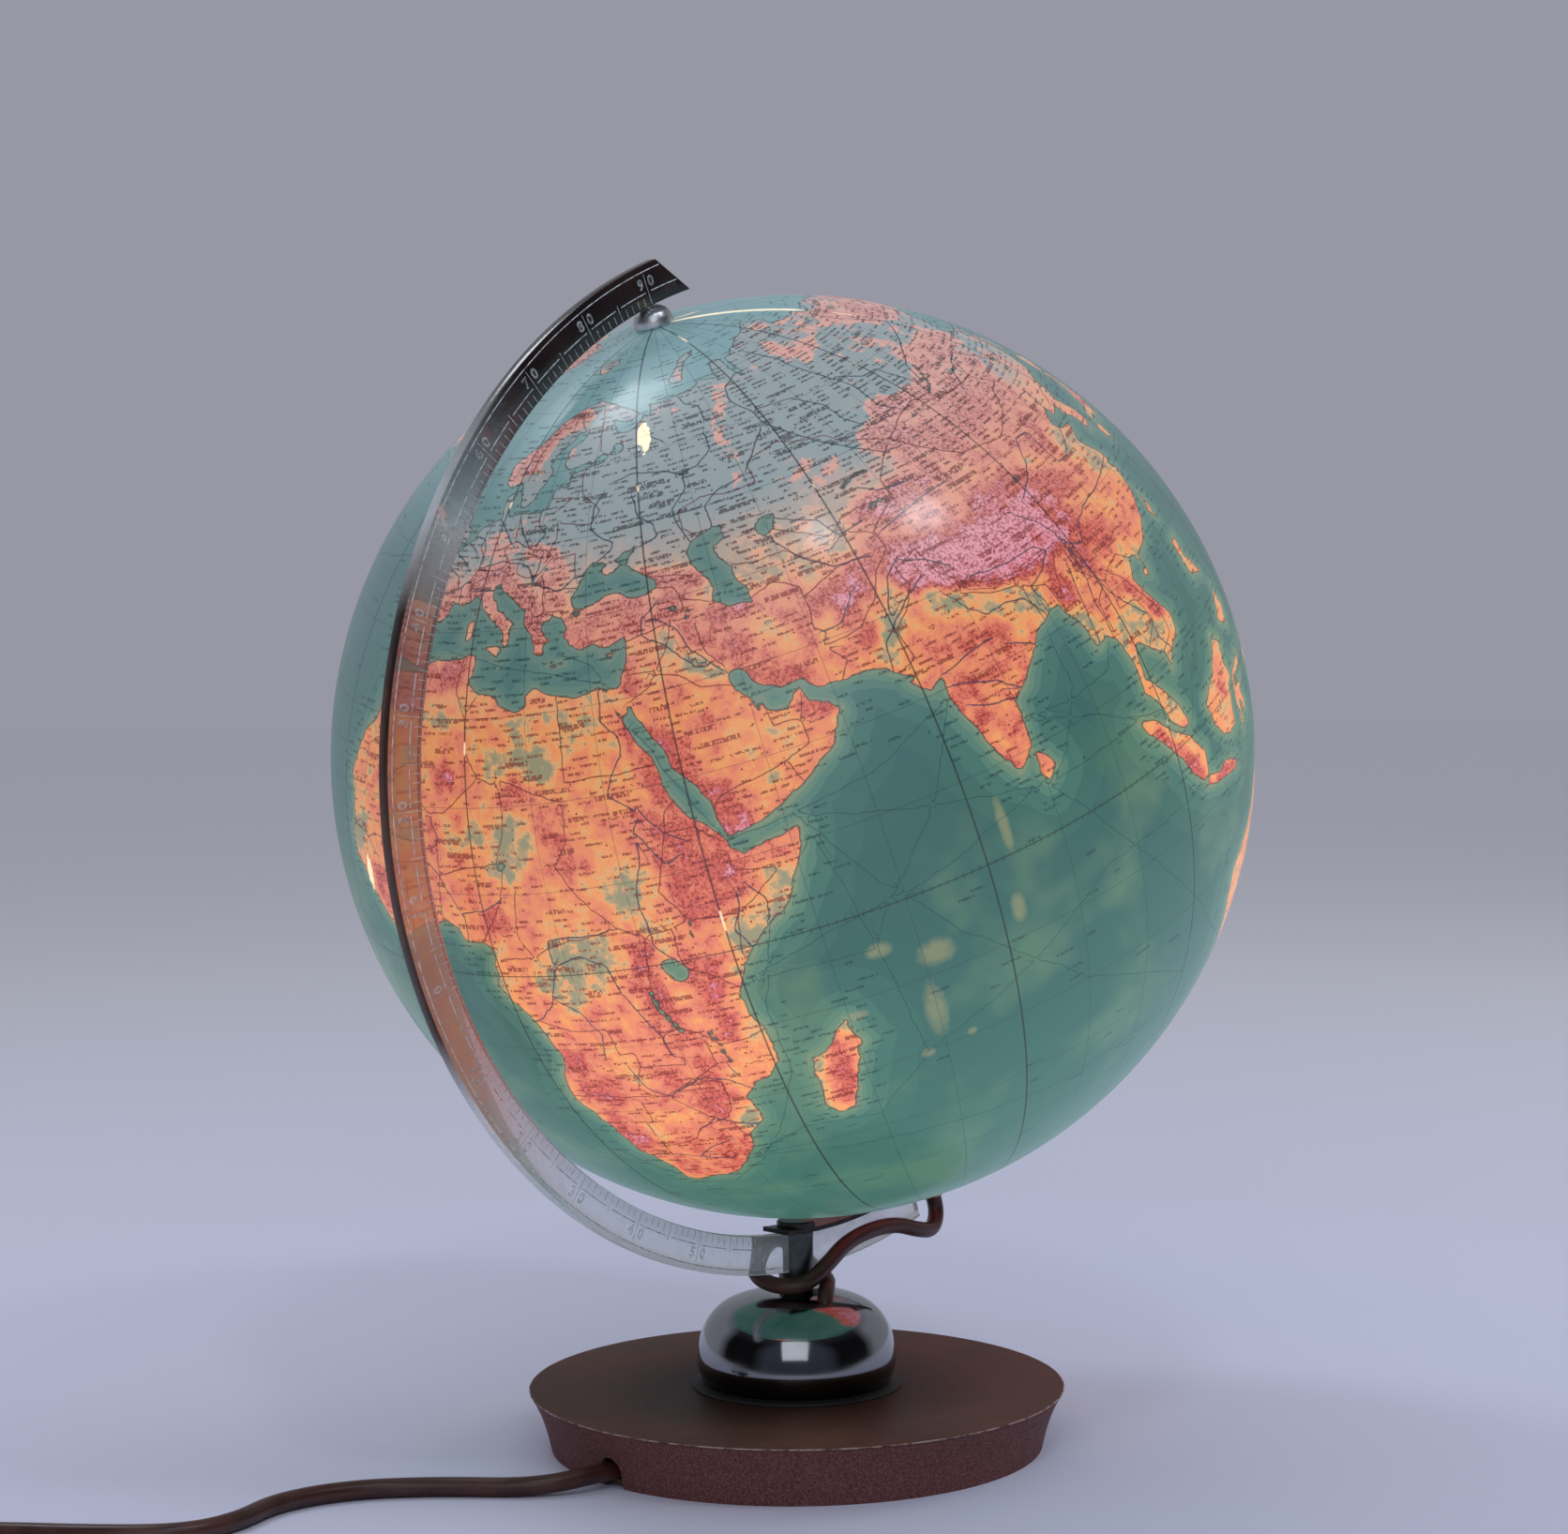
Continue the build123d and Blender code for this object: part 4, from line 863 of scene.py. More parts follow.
borders = """
    25 31.6, 25 22;
    25 22, 31.5 22, 37 22;
    24 20, 24 15.5, 22 13, 23 10.5;
    24 20, 15 23.3, 14.5 22.5, 12 23.5, 10 26.5, 9.7 30.5, 11.4 32.2;
    9.7 30.5, 7.7 33.5, 8.5 36.8;
    12 23.5, 6 19.5, 3.3 19.2, -4.8 25, -8.7 27.3, -8.7 28.8, -2 31.5, -1.8 35;
    -4.8 25, -6 15.5, -11 15.3, -12.2 14.8, -16.4 16;
    -8.7 27.3, -12 26, -12 23.4, -13 21.4, -17 21.2;
    3.3 19.2, 4.2 16.5, 3.5 15.3, 0.2 15, -5.5 11.8, -8 10.2;
    4.2 16.5, 3.6 12, 7 13, 13.6 13.7, 15.3 16.8, 15.5 20, 15 23.3;
    3.6 12, 2.7 9, 2.7 6.4;
    0.2 15, 1 11, 0.6 6.2;
    -2.9 11, -3 5.1;
    -8 10.2, -7.6 4.5;
    14.2 12.5, 13.2 9.5, 11 6.5, 8.7 4.6;
    15.4 10, 14.5 5, 16 2.2, 11.3 2.2;
    23 10.5, 27.5 5.1, 30.8 3.5, 34 4.2, 36 4.5, 42 4;
    16 2.2, 18.5 3.5, 22.5 4.2, 27.5 5.1;
    42 4, 48 8, 43 9, 42.8 11;
    36 4.5, 34 8.5, 36 14, 37 17, 38.5 18;
    36 14.5, 40 14.5, 42.4 12.5;
    34 4.2, 34 1, 34 -1, 37.5 -3, 39.3 -4.7;
    41.9 4, 41 -0.8, 41.6 -1.6;
    30.8 3.5, 30 0, 29.6 -1.3, 29.3 -4.5;
    29.3 -4.5, 30.8 -8.3, 32.9 -9.4, 34.6 -11.5, 38.5 -11.2, 40.4 -10.5;
    30.8 -8.3, 28.4 -9.2, 28.4 -11.8, 29.8 -12.2, 29.8 -13.4, 24 -12.9, 24 -10.9, 22 -11, 21.8 -7.3,
        16.9 -7.2, 13 -5.9;
    24 -12.9, 22 -16.2, 23.4 -17.6, 18.5 -17.4, 14 -17.4, 11.8 -17.2;
    33 -9.4, 33.3 -14, 30.2 -15.6, 25.3 -17.8, 23.4 -17.6;
    30.3 -15.8, 32.8 -16.7, 32.5 -21, 31.3 -22.4, 27 -23.6, 25.3 -25.7, 20.8 -26.8, 20 -24.8;
    21 -18.3, 21 -22, 20 -22, 20 -28.5, 16.5 -28.6;
    29.4 -22.2, 25.3 -17.8;
    31.3 -22.4, 32 -25.8, 32.9 -26.9;
    35 -16, 34.5 -14.5;
    27.1 -29.6, 28.8 -28.7, 29.3 -29.8, 28 -30.6, 27.1 -29.6;
    35 29.5, 37.5 30.5, 39 32, 42 31.2, 44.7 29.2, 48.3 28.5;
    36 32.7, 39 32.4, 41 34.5, 42.3 37.2;
    36 36.2, 40 37, 42.3 37.2, 44.8 37.2, 44.5 39.5, 48.3 38.6;
    45.8 36, 46 33, 48 30.8;
    44.5 39.5, 43.6 41.1, 41.5 41.5;
    46.5 41.9, 44 42.6, 40 43.5;
    51.5 24.3, 52 23, 55.2 22.7, 55.2 20, 52 19, 48.5 18.2, 44 17.4, 43 16.6;
    55.2 22.7, 56 24.8;
    52 19, 53 16.6;
    54 37.3, 57.5 38.2, 61 36.6, 61 34, 60.6 31.5, 61.8 31, 61 29.5, 63 27, 61.6 25.2;
    61 29.5, 66.3 29.8, 69.5 32, 71.2 35, 74.5 37.2;
    61 35.5, 64.5 36.5, 67 37.3, 71.5 37.5;
    68.2 23.8, 71 24.5, 70 28, 73 30, 74.8 32.5, 74 34.5, 78 35.5;
    78 35.5, 79 32, 81 30.2, 84 28.7, 88 27.9, 92 27.7, 97 28.3;
    81 30.2, 80.2 28.8, 84 27.3, 88 26.4, 88.2 27.8;
    88.9 22, 88.6 24.5, 88.5 26.4, 92 25.1, 92.3 23.2, 92.3 21;
    97 28.3, 95 26, 93.3 23.5, 92.4 21.3;
    98 28, 98 24.2, 101 21.5, 103 22.6, 106 23, 108 21.6;
    98 16.5, 98 19.7, 101 21.5;
    101 21.5, 101 18, 104.5 17.5, 105.6 14.4, 102.6 12.2;
    102.2 22.4, 104.5 20, 107.5 15.5, 107.5 12, 104.6 10.5;
    74.5 37.3, 74 39.5, 80 42.3, 80.3 45, 83 47, 87.5 49.1;
    87.5 49.1, 91 46, 96 43, 105 41.8, 111.5 43.8, 116 46.5, 119.8 47, 116 49.8;
    87.5 49.1, 92 50.7, 98.5 52, 102.3 50.5, 107 49.8, 116 49.8;
    116 49.8, 119.8 53, 123.5 53.5, 130 49, 134.6 48.3, 131 44.9, 130.7 42.4;
    124.5 40.2, 128 41.8, 130.7 42.4;
    50 46, 47 48, 47 50.5, 51.5 51.5, 55.5 50.8, 61.5 51, 61.5 53.8, 69 55.3, 73.5 54, 77.5 53.4,
        80.5 51.3, 87.5 49.1;
    56 45, 58.5 45.5, 61 44.3, 66 42, 68 41, 71 42.5, 74 43, 80 42.3;
    53 42.1, 56 41.3, 61 41.3, 66.5 37.5;
    67.5 39.5, 70.5 40.9, 73.7 39.6;
    28.2 45.4, 28 48.2, 24 48, 22.5 49, 24 50.5, 23.6 52.5;
    23.6 52.5, 30.5 51.5, 32 53, 28 56.2, 27.5 59.4;
    31 62, 30 64.5, 29 69;
    24 65.8, 21 69;
    12 59.5, 12.2 63, 14.5 66, 18 68.5;
    22.7 54.4, 26.5 55.7, 21 56.2;
    14.2 53.9, 15 51, 18.8 49.5, 22.5 49.1;
    12.2 50.3, 15 51;
    12.2 50.3, 13.7 48.7, 17 48.8, 22 48.4;
    13.7 48.7, 13 47.5, 9.6 47.5, 7.6 47.6, 8.2 49, 6.2 50.5, 7 53.3;
    16.1 46.8, 13.7 46.5, 13.6 45.6;
    7.6 47.6, 6 46.3, 7 45.8, 7.5 43.8;
    7 45.9, 10.4 46.8;
    16.2 48, 16.1 46.8, 18.8 45.9, 21 46.2, 22.9 48;
    21.2 46.2, 22.5 44.5, 22.5 43.6, 27 44.1, 28.6 43.8;
    22.5 43.6, 23 41.4, 26.3 41.5, 26 40.8;
    20.5 42, 21 40.8, 20.2 39.6;
    22.9 41.3, 21 40.9;
    19 42, 20.5 42.4, 21.2 43;
    -1.7 43.3, 3 42.4;
    -8.8 42, -6.5 41.7, -7 39, -7.4 37.2;
    2.6 51, 6 49.5;
    -117 32.5, -111 31.3, -106.5 31.8, -101 29.7, -97.3 26;
    -123 49, -95 49, -84 46.5, -79 43.2, -75 45, -71 45.2, -67.3 45.5;
    -141 69.6, -141 60.3;
    -79 -4.5, -75.5 -1, -70 -4.2, -73.5 -7.5, -70.5 -11, -65 -10, -60.5 -15, -58 -20, -62.5 -22.2,
        -57.8 -25, -54.5 -25.6;
    -70 -4.2, -69.8 1.7, -67 1.2, -64 4, -60 5, -52 2.5;
    -67 -22.5, -69 -27, -70 -34, -71.7 -42, -72.5 -50;
    -69 -17.5, -68 -22.8, -62.5 -22.2;
    -57.6 -30.2, -53.5 -33.6;
    129 -15, 129 -31.6;
    138 -16.8, 138 -26, 141 -26, 141 -38;
    141 -29, 149 -29, 153.3 -28.2;
    129 -26, 138 -26
"""
seaRoutes = """
    43.5 12.3, 51 13.3, 60 14.5, 72 18.8;
    51.5 12.8, 62 9.8, 76 6.5, 80.5 5.5, 95 6;
    51.5 12.6, 58 3, 66 -7, 80 -20, 100 -30;
    51.8 12, 54 4, 55.5 -4.5, 57.5 -19.5;
    39.8 -4, 50 -1, 62 1, 73 4, 79.5 6;
    39.8 -4.4, 46 -4, 55 -4.5;
    72.5 18.5, 66 9, 58 0, 55.5 -4.3;
    32 -30, 40 -26.5, 50 -27.5, 57 -20.5;
    32.5 -30.5, 50 -33, 75 -35.5, 115 -34;
    18 -35, 25 -36, 33 -31, 37 -26, 41.5 -17, 41.6 -8, 45 2, 52.5 11;
    57.5 -20, 70 -15, 85 -7, 104 -6.3;
    80.3 5.4, 92 -10, 108 -28, 115 -32.5;
    80.5 13, 88 12.5, 94 13, 96 15.5;
    80.5 12.8, 90 9.5, 95.5 6.2, 100 5.3;
    88.5 20.5, 88 14, 84 8, 81 5.4;
    5 38, 14 36.2, 24 34.3, 32 31.8;
    32.3 31.8, 30 34.5, 26 36;
    33 28.5, 36.5 24, 39.5 18.5, 43 13;
    -15 28, -18 15, -12 3, 0 -15, 17.5 -33.5;
    -5 48, -10 44, -10 38, -15 29;
    -6 49.5, -30 47, -55 42, -73 40;
    104.5 1, 108 6, 113 17, 114 21.5;
    -34 -8, -20 12, -12 32;
    151.5 -34, 160 -38, 174 -41;
    -157.5 21, -125 36.5;
    140 35, 180 30, -157.5 21.5
"""
relief = [                               # reach in degrees, level from 0 to 1, middle line
    (20, 0.42, "0 24, 12 22, 22 20"), (14, 0.5, "24 -10, 26 -20"), (9, 0.44, "-5 12, 8 10, 22 10"),
    (11, 0.47, "46 24, 50 20"), (7, 0.58, "54 33, 62 32"), (9, 0.52, "77 22, 77 15"),
    (12, 0.5, "100 36, 112 38"), (17, 0.36, "105 62, 130 60"),
    (14, 0.12, "35 55, 50 54, 67 60, 80 62"), (5, 0.16, "10 53, 20 52.5"), (14, 0.36, "128 -25"),
    (16, 0.3, "-95 50, -80 55"), (14, 0.36, "-48 -12"), (12, 0.97, "-40 74"), (30, 0.98, "0 -90"),
    (3.4, 0.14, "14 13.5, 18 17"), (4.4, 0.14, "18 -1, 23 1"), (4.0, 0.24, "24 28, 27 29.5"),
    (3.2, 0.17, "16 24, 21 24.5"), (2.6, 0.15, "7 16.5, 10 17"), (3.4, 0.2, "31 8.5, 29.5 10"),
    (2.2, 0.2, "35.8 -20.5, 34 -23.5"), (2.6, 0.14, "47.5 5.5, 45 3, 42 -0.5"),
    (2.6, 0.2, "-15 14.5, -14.5 17"), (2.4, 0.26, "-6 21, -3 18"), (3.0, 0.3, "5 28.5, 9 31.5"),
    (1.6, 0.14, "31 30.5"), (2.0, 0.26, "10 0.5, 10.5 5"), (2.4, 0.26, "2 31, 4 33"),
    (2.2, 0.24, "17 29, 20 28"), (2.2, 0.3, "11 14.5"), (3.0, 0.38, "22 -22.5, 22 -25"),
    (2.6, 0.36, "23 -14.5"), (2.4, 0.78, "-9 30.5, -5 32.5, 0 34.3, 8 35.6"), (2.6, 0.68, "5.8 23.3"),
    (2.4, 0.7, "17.5 21"), (1.7, 0.6, "8.5 18.5"), (3.2, 0.66, "23.5 14, 22.5 17.5"),
    (4.6, 0.78, "37.5 13.5, 38.5 10, 37.5 7, 41 8.5"),
    (3.4, 0.74, "36.8 0.5, 35.5 -3, 35 -6, 35.3 -9"), (2.2, 0.78, "30 2, 29.3 -2, 30 -6, 31.5 -9.5"),
    (5.5, 0.62, "27 -11, 31 -13"), (3.8, 0.7, "15.5 -12.5, 16 -16"), (2.6, 0.7, "16.5 -20, 17 -26"),
    (2.8, 0.76, "29.2 -29.5, 30 -26, 27 -31.5, 23 -32.3"), (5.5, 0.66, "26 -27, 24 -30"),
    (3.4, 0.68, "30.5 -18.5, 31 -20"), (1.9, 0.76, "47.8 -15, 47 -19, 46.6 -22.8"),
    (2.2, 0.74, "10.3 5.8, 12 7.3"), (1.8, 0.6, "9 9.8"), (2.6, 0.62, "-11 11, -9 8.5"),
    (1.6, 0.7, "34.2 26.5, 36 21.5, 37.5 18"), (1.8, 0.6, "13.5 -2, 14.5 -5"),
    (2.0, 0.66, "45.5 9.8, 49 10.3"), (2.3, 0.8, "37.5 25, 40.6 20.5, 43.3 16.5, 44.6 14"),
    (1.5, 0.7, "56.5 24, 58 23"), (1.3, 0.68, "35.7 31, 36 33.8"), (2.0, 0.14, "43.5 34, 47 31"),
    (4, 0.34, "50 22"), (3.4, 0.7, "29 38.5, 33 38.5, 37 39, 41 39.5"),
    (1.5, 0.78, "40 43.3, 43.5 42.8, 47 41.7"), (2.2, 0.74, "43.5 39.5"),
    (2.7, 0.74, "45 36, 48.5 33.5, 52 30, 56 28.5"), (1.4, 0.76, "49 36.7, 53 36"),
    (2.2, 0.42, "54 34, 57 31"), (1.4, 0.74, "57 38, 60 37"), (1.5, 0.72, "60 32, 61 29"),
    (2.6, 0.3, "62 30.5"), (2.2, 0.78, "66 30, 67 27"), (2.6, 0.92, "65.5 34.3, 68 35, 71 36.5"),
    (2.8, 0.88, "73 38.3"), (2.6, 0.86, "74.5 35, 79 31.5, 84 29, 90 28.5, 96 29"),
    (5.6, 1.2, "80 34, 87 33.5, 93 33, 99 32.5"), (2.2, 0.98, "77 36.5, 84 36.5, 92 36.3, 98 36.5"),
    (3.8, 0.56, "79 39.3, 84 39.8, 89 40.3"), (2.0, 0.9, "70.5 41.5, 76 42, 82 42.7, 88 43.3"),
    (2.6, 0.44, "86 45.5"), (2.8, 0.86, "86 49.8, 90 48.5, 95 46.5"),
    (2.2, 0.8, "92 53, 97 52.3, 101 51.8"), (6, 0.68, "100 47.5, 106 47, 113 47"),
    (3, 0.56, "100 42, 108 42.5"), (2.8, 0.84, "102 31, 103 34, 107 33.8"), (2.2, 0.46, "105.3 30.3"),
    (3.8, 0.8, "101 26, 105 26.5"), (4.2, 0.52, "112 26.5, 117 26.5"), (2.6, 0.66, "111 37.5, 112 40"),
    (1.7, 0.78, "93.8 22.5, 95 26"), (3.0, 0.64, "98.5 20, 101 20.5"),
    (1.5, 0.7, "104.5 19, 107.5 15"), (1.8, 0.64, "118 44, 121 48, 124 51"),
    (2.8, 0.68, "114 55.5, 122 56, 131 55.5"), (3, 0.7, "128 68, 131 64.5, 137 63"),
    (3.6, 0.66, "143 65, 152 63, 160 65"), (1.6, 0.7, "157.5 54, 160.5 58"), (4, 0.42, "95 68"),
    (2, 0.6, "110 54, 113 56"), (1.3, 0.42, "59 51.5, 59.5 56, 59.5 61, 65 67"), (4, 0.4, "72 49"),
    (1.9, 0.74, "7.5 60.5, 11 63, 15.5 66.5, 20 68.7"),
    (1.5, 0.8, "6.5 44.8, 8 46.3, 11.5 46.8, 14.5 47"),
    (1.4, 0.74, "19 49.2, 23.5 48, 25.5 45.7, 22.5 45.3"),
    (1.7, 0.78, "15.5 45, 18.5 43.3, 20.5 41.5, 21.8 39.5"), (1.3, 0.72, "23.5 42, 25.5 42.7"),
    (1.3, 0.2, "19.5 46.8"), (1.1, 0.68, "9.5 44.4, 13 43, 15.5 40.8"), (1.1, 0.78, "-1 42.9, 2 42.5"),
    (4.6, 0.6, "-4 40.5"), (1.3, 0.74, "-4 37.3"), (1.8, 0.6, "3 45"), (2.4, 0.44, "9 50.5, 13 50.3"),
    (1.3, 0.8, "73.8 19, 75 14, 77 10"), (1.7, 0.68, "79.5 15, 82.5 18.5"),
    (2.0, 0.22, "76 29.5, 81 27, 88 25.3, 90 23.5"), (1.9, 0.24, "68 25.5, 71.5 30"),
    (2.2, 0.66, "75 24, 82 22.5"), (6.5, 0.16, "58 43, 62 45, 66 42.5"),
    (4.2, 0.04, "49.5 47.5, 47 46"), (2.4, 0.18, "100.5 15, 105 12.5"), (3.2, 0.14, "116 36, 118 33"),
    (2.4, 0.22, "125 45.5"), (1.3, 0.72, "98 3, 101.5 -1.5, 104 -5"), (1.0, 0.62, "106 -7, 114 -8"),
    (2.4, 0.55, "115 2"), (2, 0.82, "136 -3.8, 143 -5.5, 147.5 -8.5"),
    (1.7, 0.54, "145 -17, 151 -27, 149 -36"), (4, 0.14, "138 -27"),
    (4, 0.84, "-142 62, -128 57, -119 50, -112 43, -106 38, -106 33"), (2, 0.78, "-119 37, -121 44"),
    (3, 0.78, "-107 27, -103 23, -98 18"), (1.6, 0.52, "-83 36, -77 40.5, -71 44.5"),
    (2.6, 0.95, "-73 8, -76.5 3, -78.7 -2, -77 -9, -72.5 -14, -68.5 -18, -67.5 -23, "
                "-69.5 -30, -71 -38, -72.5 -47"),
    (6, 0.58, "-46 -19, -42 -14"), (3, 0.54, "-63 5"), (8, 0.14, "-62 -4, -68 -6"),
    (5, 0.2, "-61 -32"), (4, 0.16, "-96 33, -88 32"), (1.6, 0.7, "138 36, 140.5 39"),
    (5.5, 0.58, "75 23, 78 19, 78 14"),
]

globe = {
    "subdivisions": 8,
    "lip": 1.5 * mm,
    "firstMeridian": 184.394,            # longitude that faces the globe's own X axis
    "wobble": ((12, 0.0055), (31, 0.003)),   # scale and size of the coast's unevenness
    "seamStep": 30.0,                    # degrees between the gores' seams
    "seamFirst": 10.0,
    "glow": 1.0,
    "chips": [(41.8, 62.4, 1.8347, 2.5), (346.8, 10.3, 0.7115, 2.2)],   # bare spots: place and half sizes
    "banks": [                           # shallows in the ocean: place and half sizes
        (59.8, -14.6, 1.0, 2.6), (61.6, -7.4, 1.6, 1.2), (72.2, -6.3, 0.7, 1.3), (55.4, -4.8, 1.1, 0.7),
        (73.2, 3.6, 0.5, 2.4), (57.6, -20.3, 0.7, 0.5), (63.4, -19.6, 0.5, 0.4), (51, -12, 0.9, 0.5),
    ],
    "slits": [                           # open seams: longitude, both ends, half width in mm
        (130, 71.5, 88.8, 1.1), (160, 83.5, 88.5, 0.5), (70, 79, 83, 0.35),
    ],
    "seaTints": [                        # from the shore outwards
        (0.0, paint(130, 146, 116)), (0.05, paint(106, 138, 114)), (0.11, paint(88, 128, 112)),
        (0.2, paint(70, 114, 103)), (0.42, paint(62, 105, 96)), (0.75, paint(57, 100, 93)),
    ],
    "landTints": [                       # from low ground to snow
        (0.0, paint(158, 152, 120)), (0.12, paint(186, 160, 120)), (0.2, paint(232, 174, 118)),
        (0.28, paint(247, 162, 102)), (0.4, paint(242, 146, 102)), (0.52, paint(238, 138, 108)),
        (0.63, paint(228, 120, 98)), (0.74, paint(216, 104, 88)), (0.84, paint(212, 106, 100)),
        (0.92, paint(232, 138, 150)), (1.0, paint(240, 156, 170)),
    ],
}


def spotsOf(text):
    return np.array([[float(part) for part in pair.split()] for pair in text.split(",")])


def linesOf(text):
    return [spotsOf(line) for line in text.split(";")]


def onBall(lonLat):
    lon, lat = np.radians(np.asarray(lonLat, float).T)
    return np.stack([np.cos(lat) * np.cos(lon), np.cos(lat) * np.sin(lon), np.sin(lat)], axis=1)


def dense(spots, closed=False, step=0.3):
    ends = np.roll(spots, -1, axis=0) if closed else spots[1:]
    rows = []
    for start, end in zip(spots, ends):
        count = max(1, math.ceil(np.abs(end - start).max() / step))
        rows.append(start + (end - start) * np.arange(count)[:, None] / count)
    if not closed:
        rows.append(spots[-1:])
    return np.vstack(rows)


def insideOf(lonLat, outline):
    middle = (outline[:, 0].min() + outline[:, 0].max()) / 2
    lon = (lonLat[:, 0] - middle + 180) % 360 - 180 + middle
    lat = lonLat[:, 1]
    odd = np.zeros(len(lon), bool)
    for (x0, y0), (x1, y1) in zip(outline, np.roll(outline, -1, axis=0)):
        if y0 != y1:
            level = (lat >= min(y0, y1)) & (lat < max(y0, y1))
            odd ^= level & (lon < x0 + (lat - y0) * (x1 - x0) / (y1 - y0))
    return odd


def nearest(ball, lines, closed):
    # distance in mm from each place to the lines, and which side of them it is on
    spots, ways = [], []
    for line in lines:
        path = dense(line, closed)
        path = path[np.abs(path[:, 1]) < 83.8]
        points = onBall(path)
        spots.append(points)
        ways.append(np.gradient(points, axis=0))
    spots = np.vstack(spots)
    ways = np.vstack(ways)
    tree = kdtree.KDTree(len(spots))
    for index, spot in enumerate(spots):
        tree.insert(spot, index)
    tree.balance()
    found = [tree.find(place)[1:] for place in ball]
    index = np.array([f[0] for f in found])
    gap = 2 * np.arcsin(np.array([f[1] for f in found]) / 2) * ballRadius / mm
    side = np.einsum("ij,ij->i", np.cross(ways[index], ball - spots[index]), ball)
    return gap, np.where(side < 0, -1.0, 1.0)


def degreesTo(ball, spots):
    # how far each place is from one short line, for broad shapes
    path = onBall(dense(spots, step=1.0))
    return np.degrees(np.arccos(np.clip((ball @ path.T).max(axis=1), -1, 1)))


def geographic(piece):
    # each vertex as a direction in the map's own frame
    flat = np.empty(len(piece.data.vertices) * 3)
    piece.data.vertices.foreach_get("co", flat)
    away = flat.reshape(-1, 3) - np.array(centre)
    own = np.stack([away @ np.array(eastWay), away[:, 1], away @ np.array(northWay)], axis=1)
    own /= np.linalg.norm(own, axis=1)[:, None]
    turn = math.radians(globe["firstMeridian"])
    x = own[:, 0] * math.cos(turn) - own[:, 1] * math.sin(turn)
    y = own[:, 0] * math.sin(turn) + own[:, 1] * math.cos(turn)
    return np.stack([x, y, own[:, 2]], axis=1)


def wobbled(ball):
    moved = ball.copy()
    for scale, size in globe["wobble"]:
        moved += size * np.array([noise.noise_vector(Vector(place) * scale) for place in ball])
    return moved / np.linalg.norm(moved, axis=1)[:, None]


def store(piece, name, values):
    layer = piece.data.attributes.new(name, "FLOAT", "POINT")
    layer.data.foreach_set("value", values.astype(np.float32))


def addMap(piece):
    ball = wobbled(geographic(piece))
    lonLat = np.degrees(np.stack([np.arctan2(ball[:, 1], ball[:, 0]), np.arcsin(ball[:, 2])], axis=1))
    outlines = [spotsOf(text) for text in land.values()]
    seas = [spotsOf(text) for text in inlandSeas.values()]
    onLand = np.zeros(len(ball), bool)
    for outline in outlines:
        onLand |= insideOf(lonLat, outline)
    for outline in seas:
        onLand &= ~insideOf(lonLat, outline)
    coast, _ = nearest(ball, outlines + seas, True)
    coast = np.where(onLand, coast, -coast)
    for half, text in lakes:
        gap = degreesTo(ball, spotsOf(text))
        coast = np.minimum(coast, (gap - half) * perDegree)
    store(piece, "coast", coast)
    height = np.full(len(ball), 0.3)
    for reach, level, text in relief:
        gap = degreesTo(ball, spotsOf(text))
        height += (level - height) * eased(np.clip((1.25 * reach - gap) / (0.9 * reach), 0, 1))
    store(piece, "height", height)
    for name, text in (("river", rivers), ("border", borders), ("seaRoute", seaRoutes)):
        gap, side = nearest(ball, linesOf(text), False)
        store(piece, name, gap * side)
        store(piece, name + "Near", np.minimum(gap, 9.0))


def hemisphere(name, side):
    deselectAll()
    bpy.ops.mesh.primitive_ico_sphere_add(subdivisions=globe["subdivisions"], radius=ballRadius,
                                          location=centre)
    piece = newPiece(name)
    editing(piece)
    bpy.ops.mesh.select_all(action="SELECT")
    bpy.ops.mesh.bisect(plane_co=centre, plane_no=northWay * side, clear_inner=True)
    inward = 1 - globe["lip"] / ballRadius
    bpy.ops.mesh.extrude_region_move(TRANSFORM_OT_translate={"value": (0, 0, 0)})
    bpy.ops.transform.resize(value=(inward, inward, inward), center_override=centre)
    doneEditing()
    addMap(piece)
    return smooth(piece, 30)


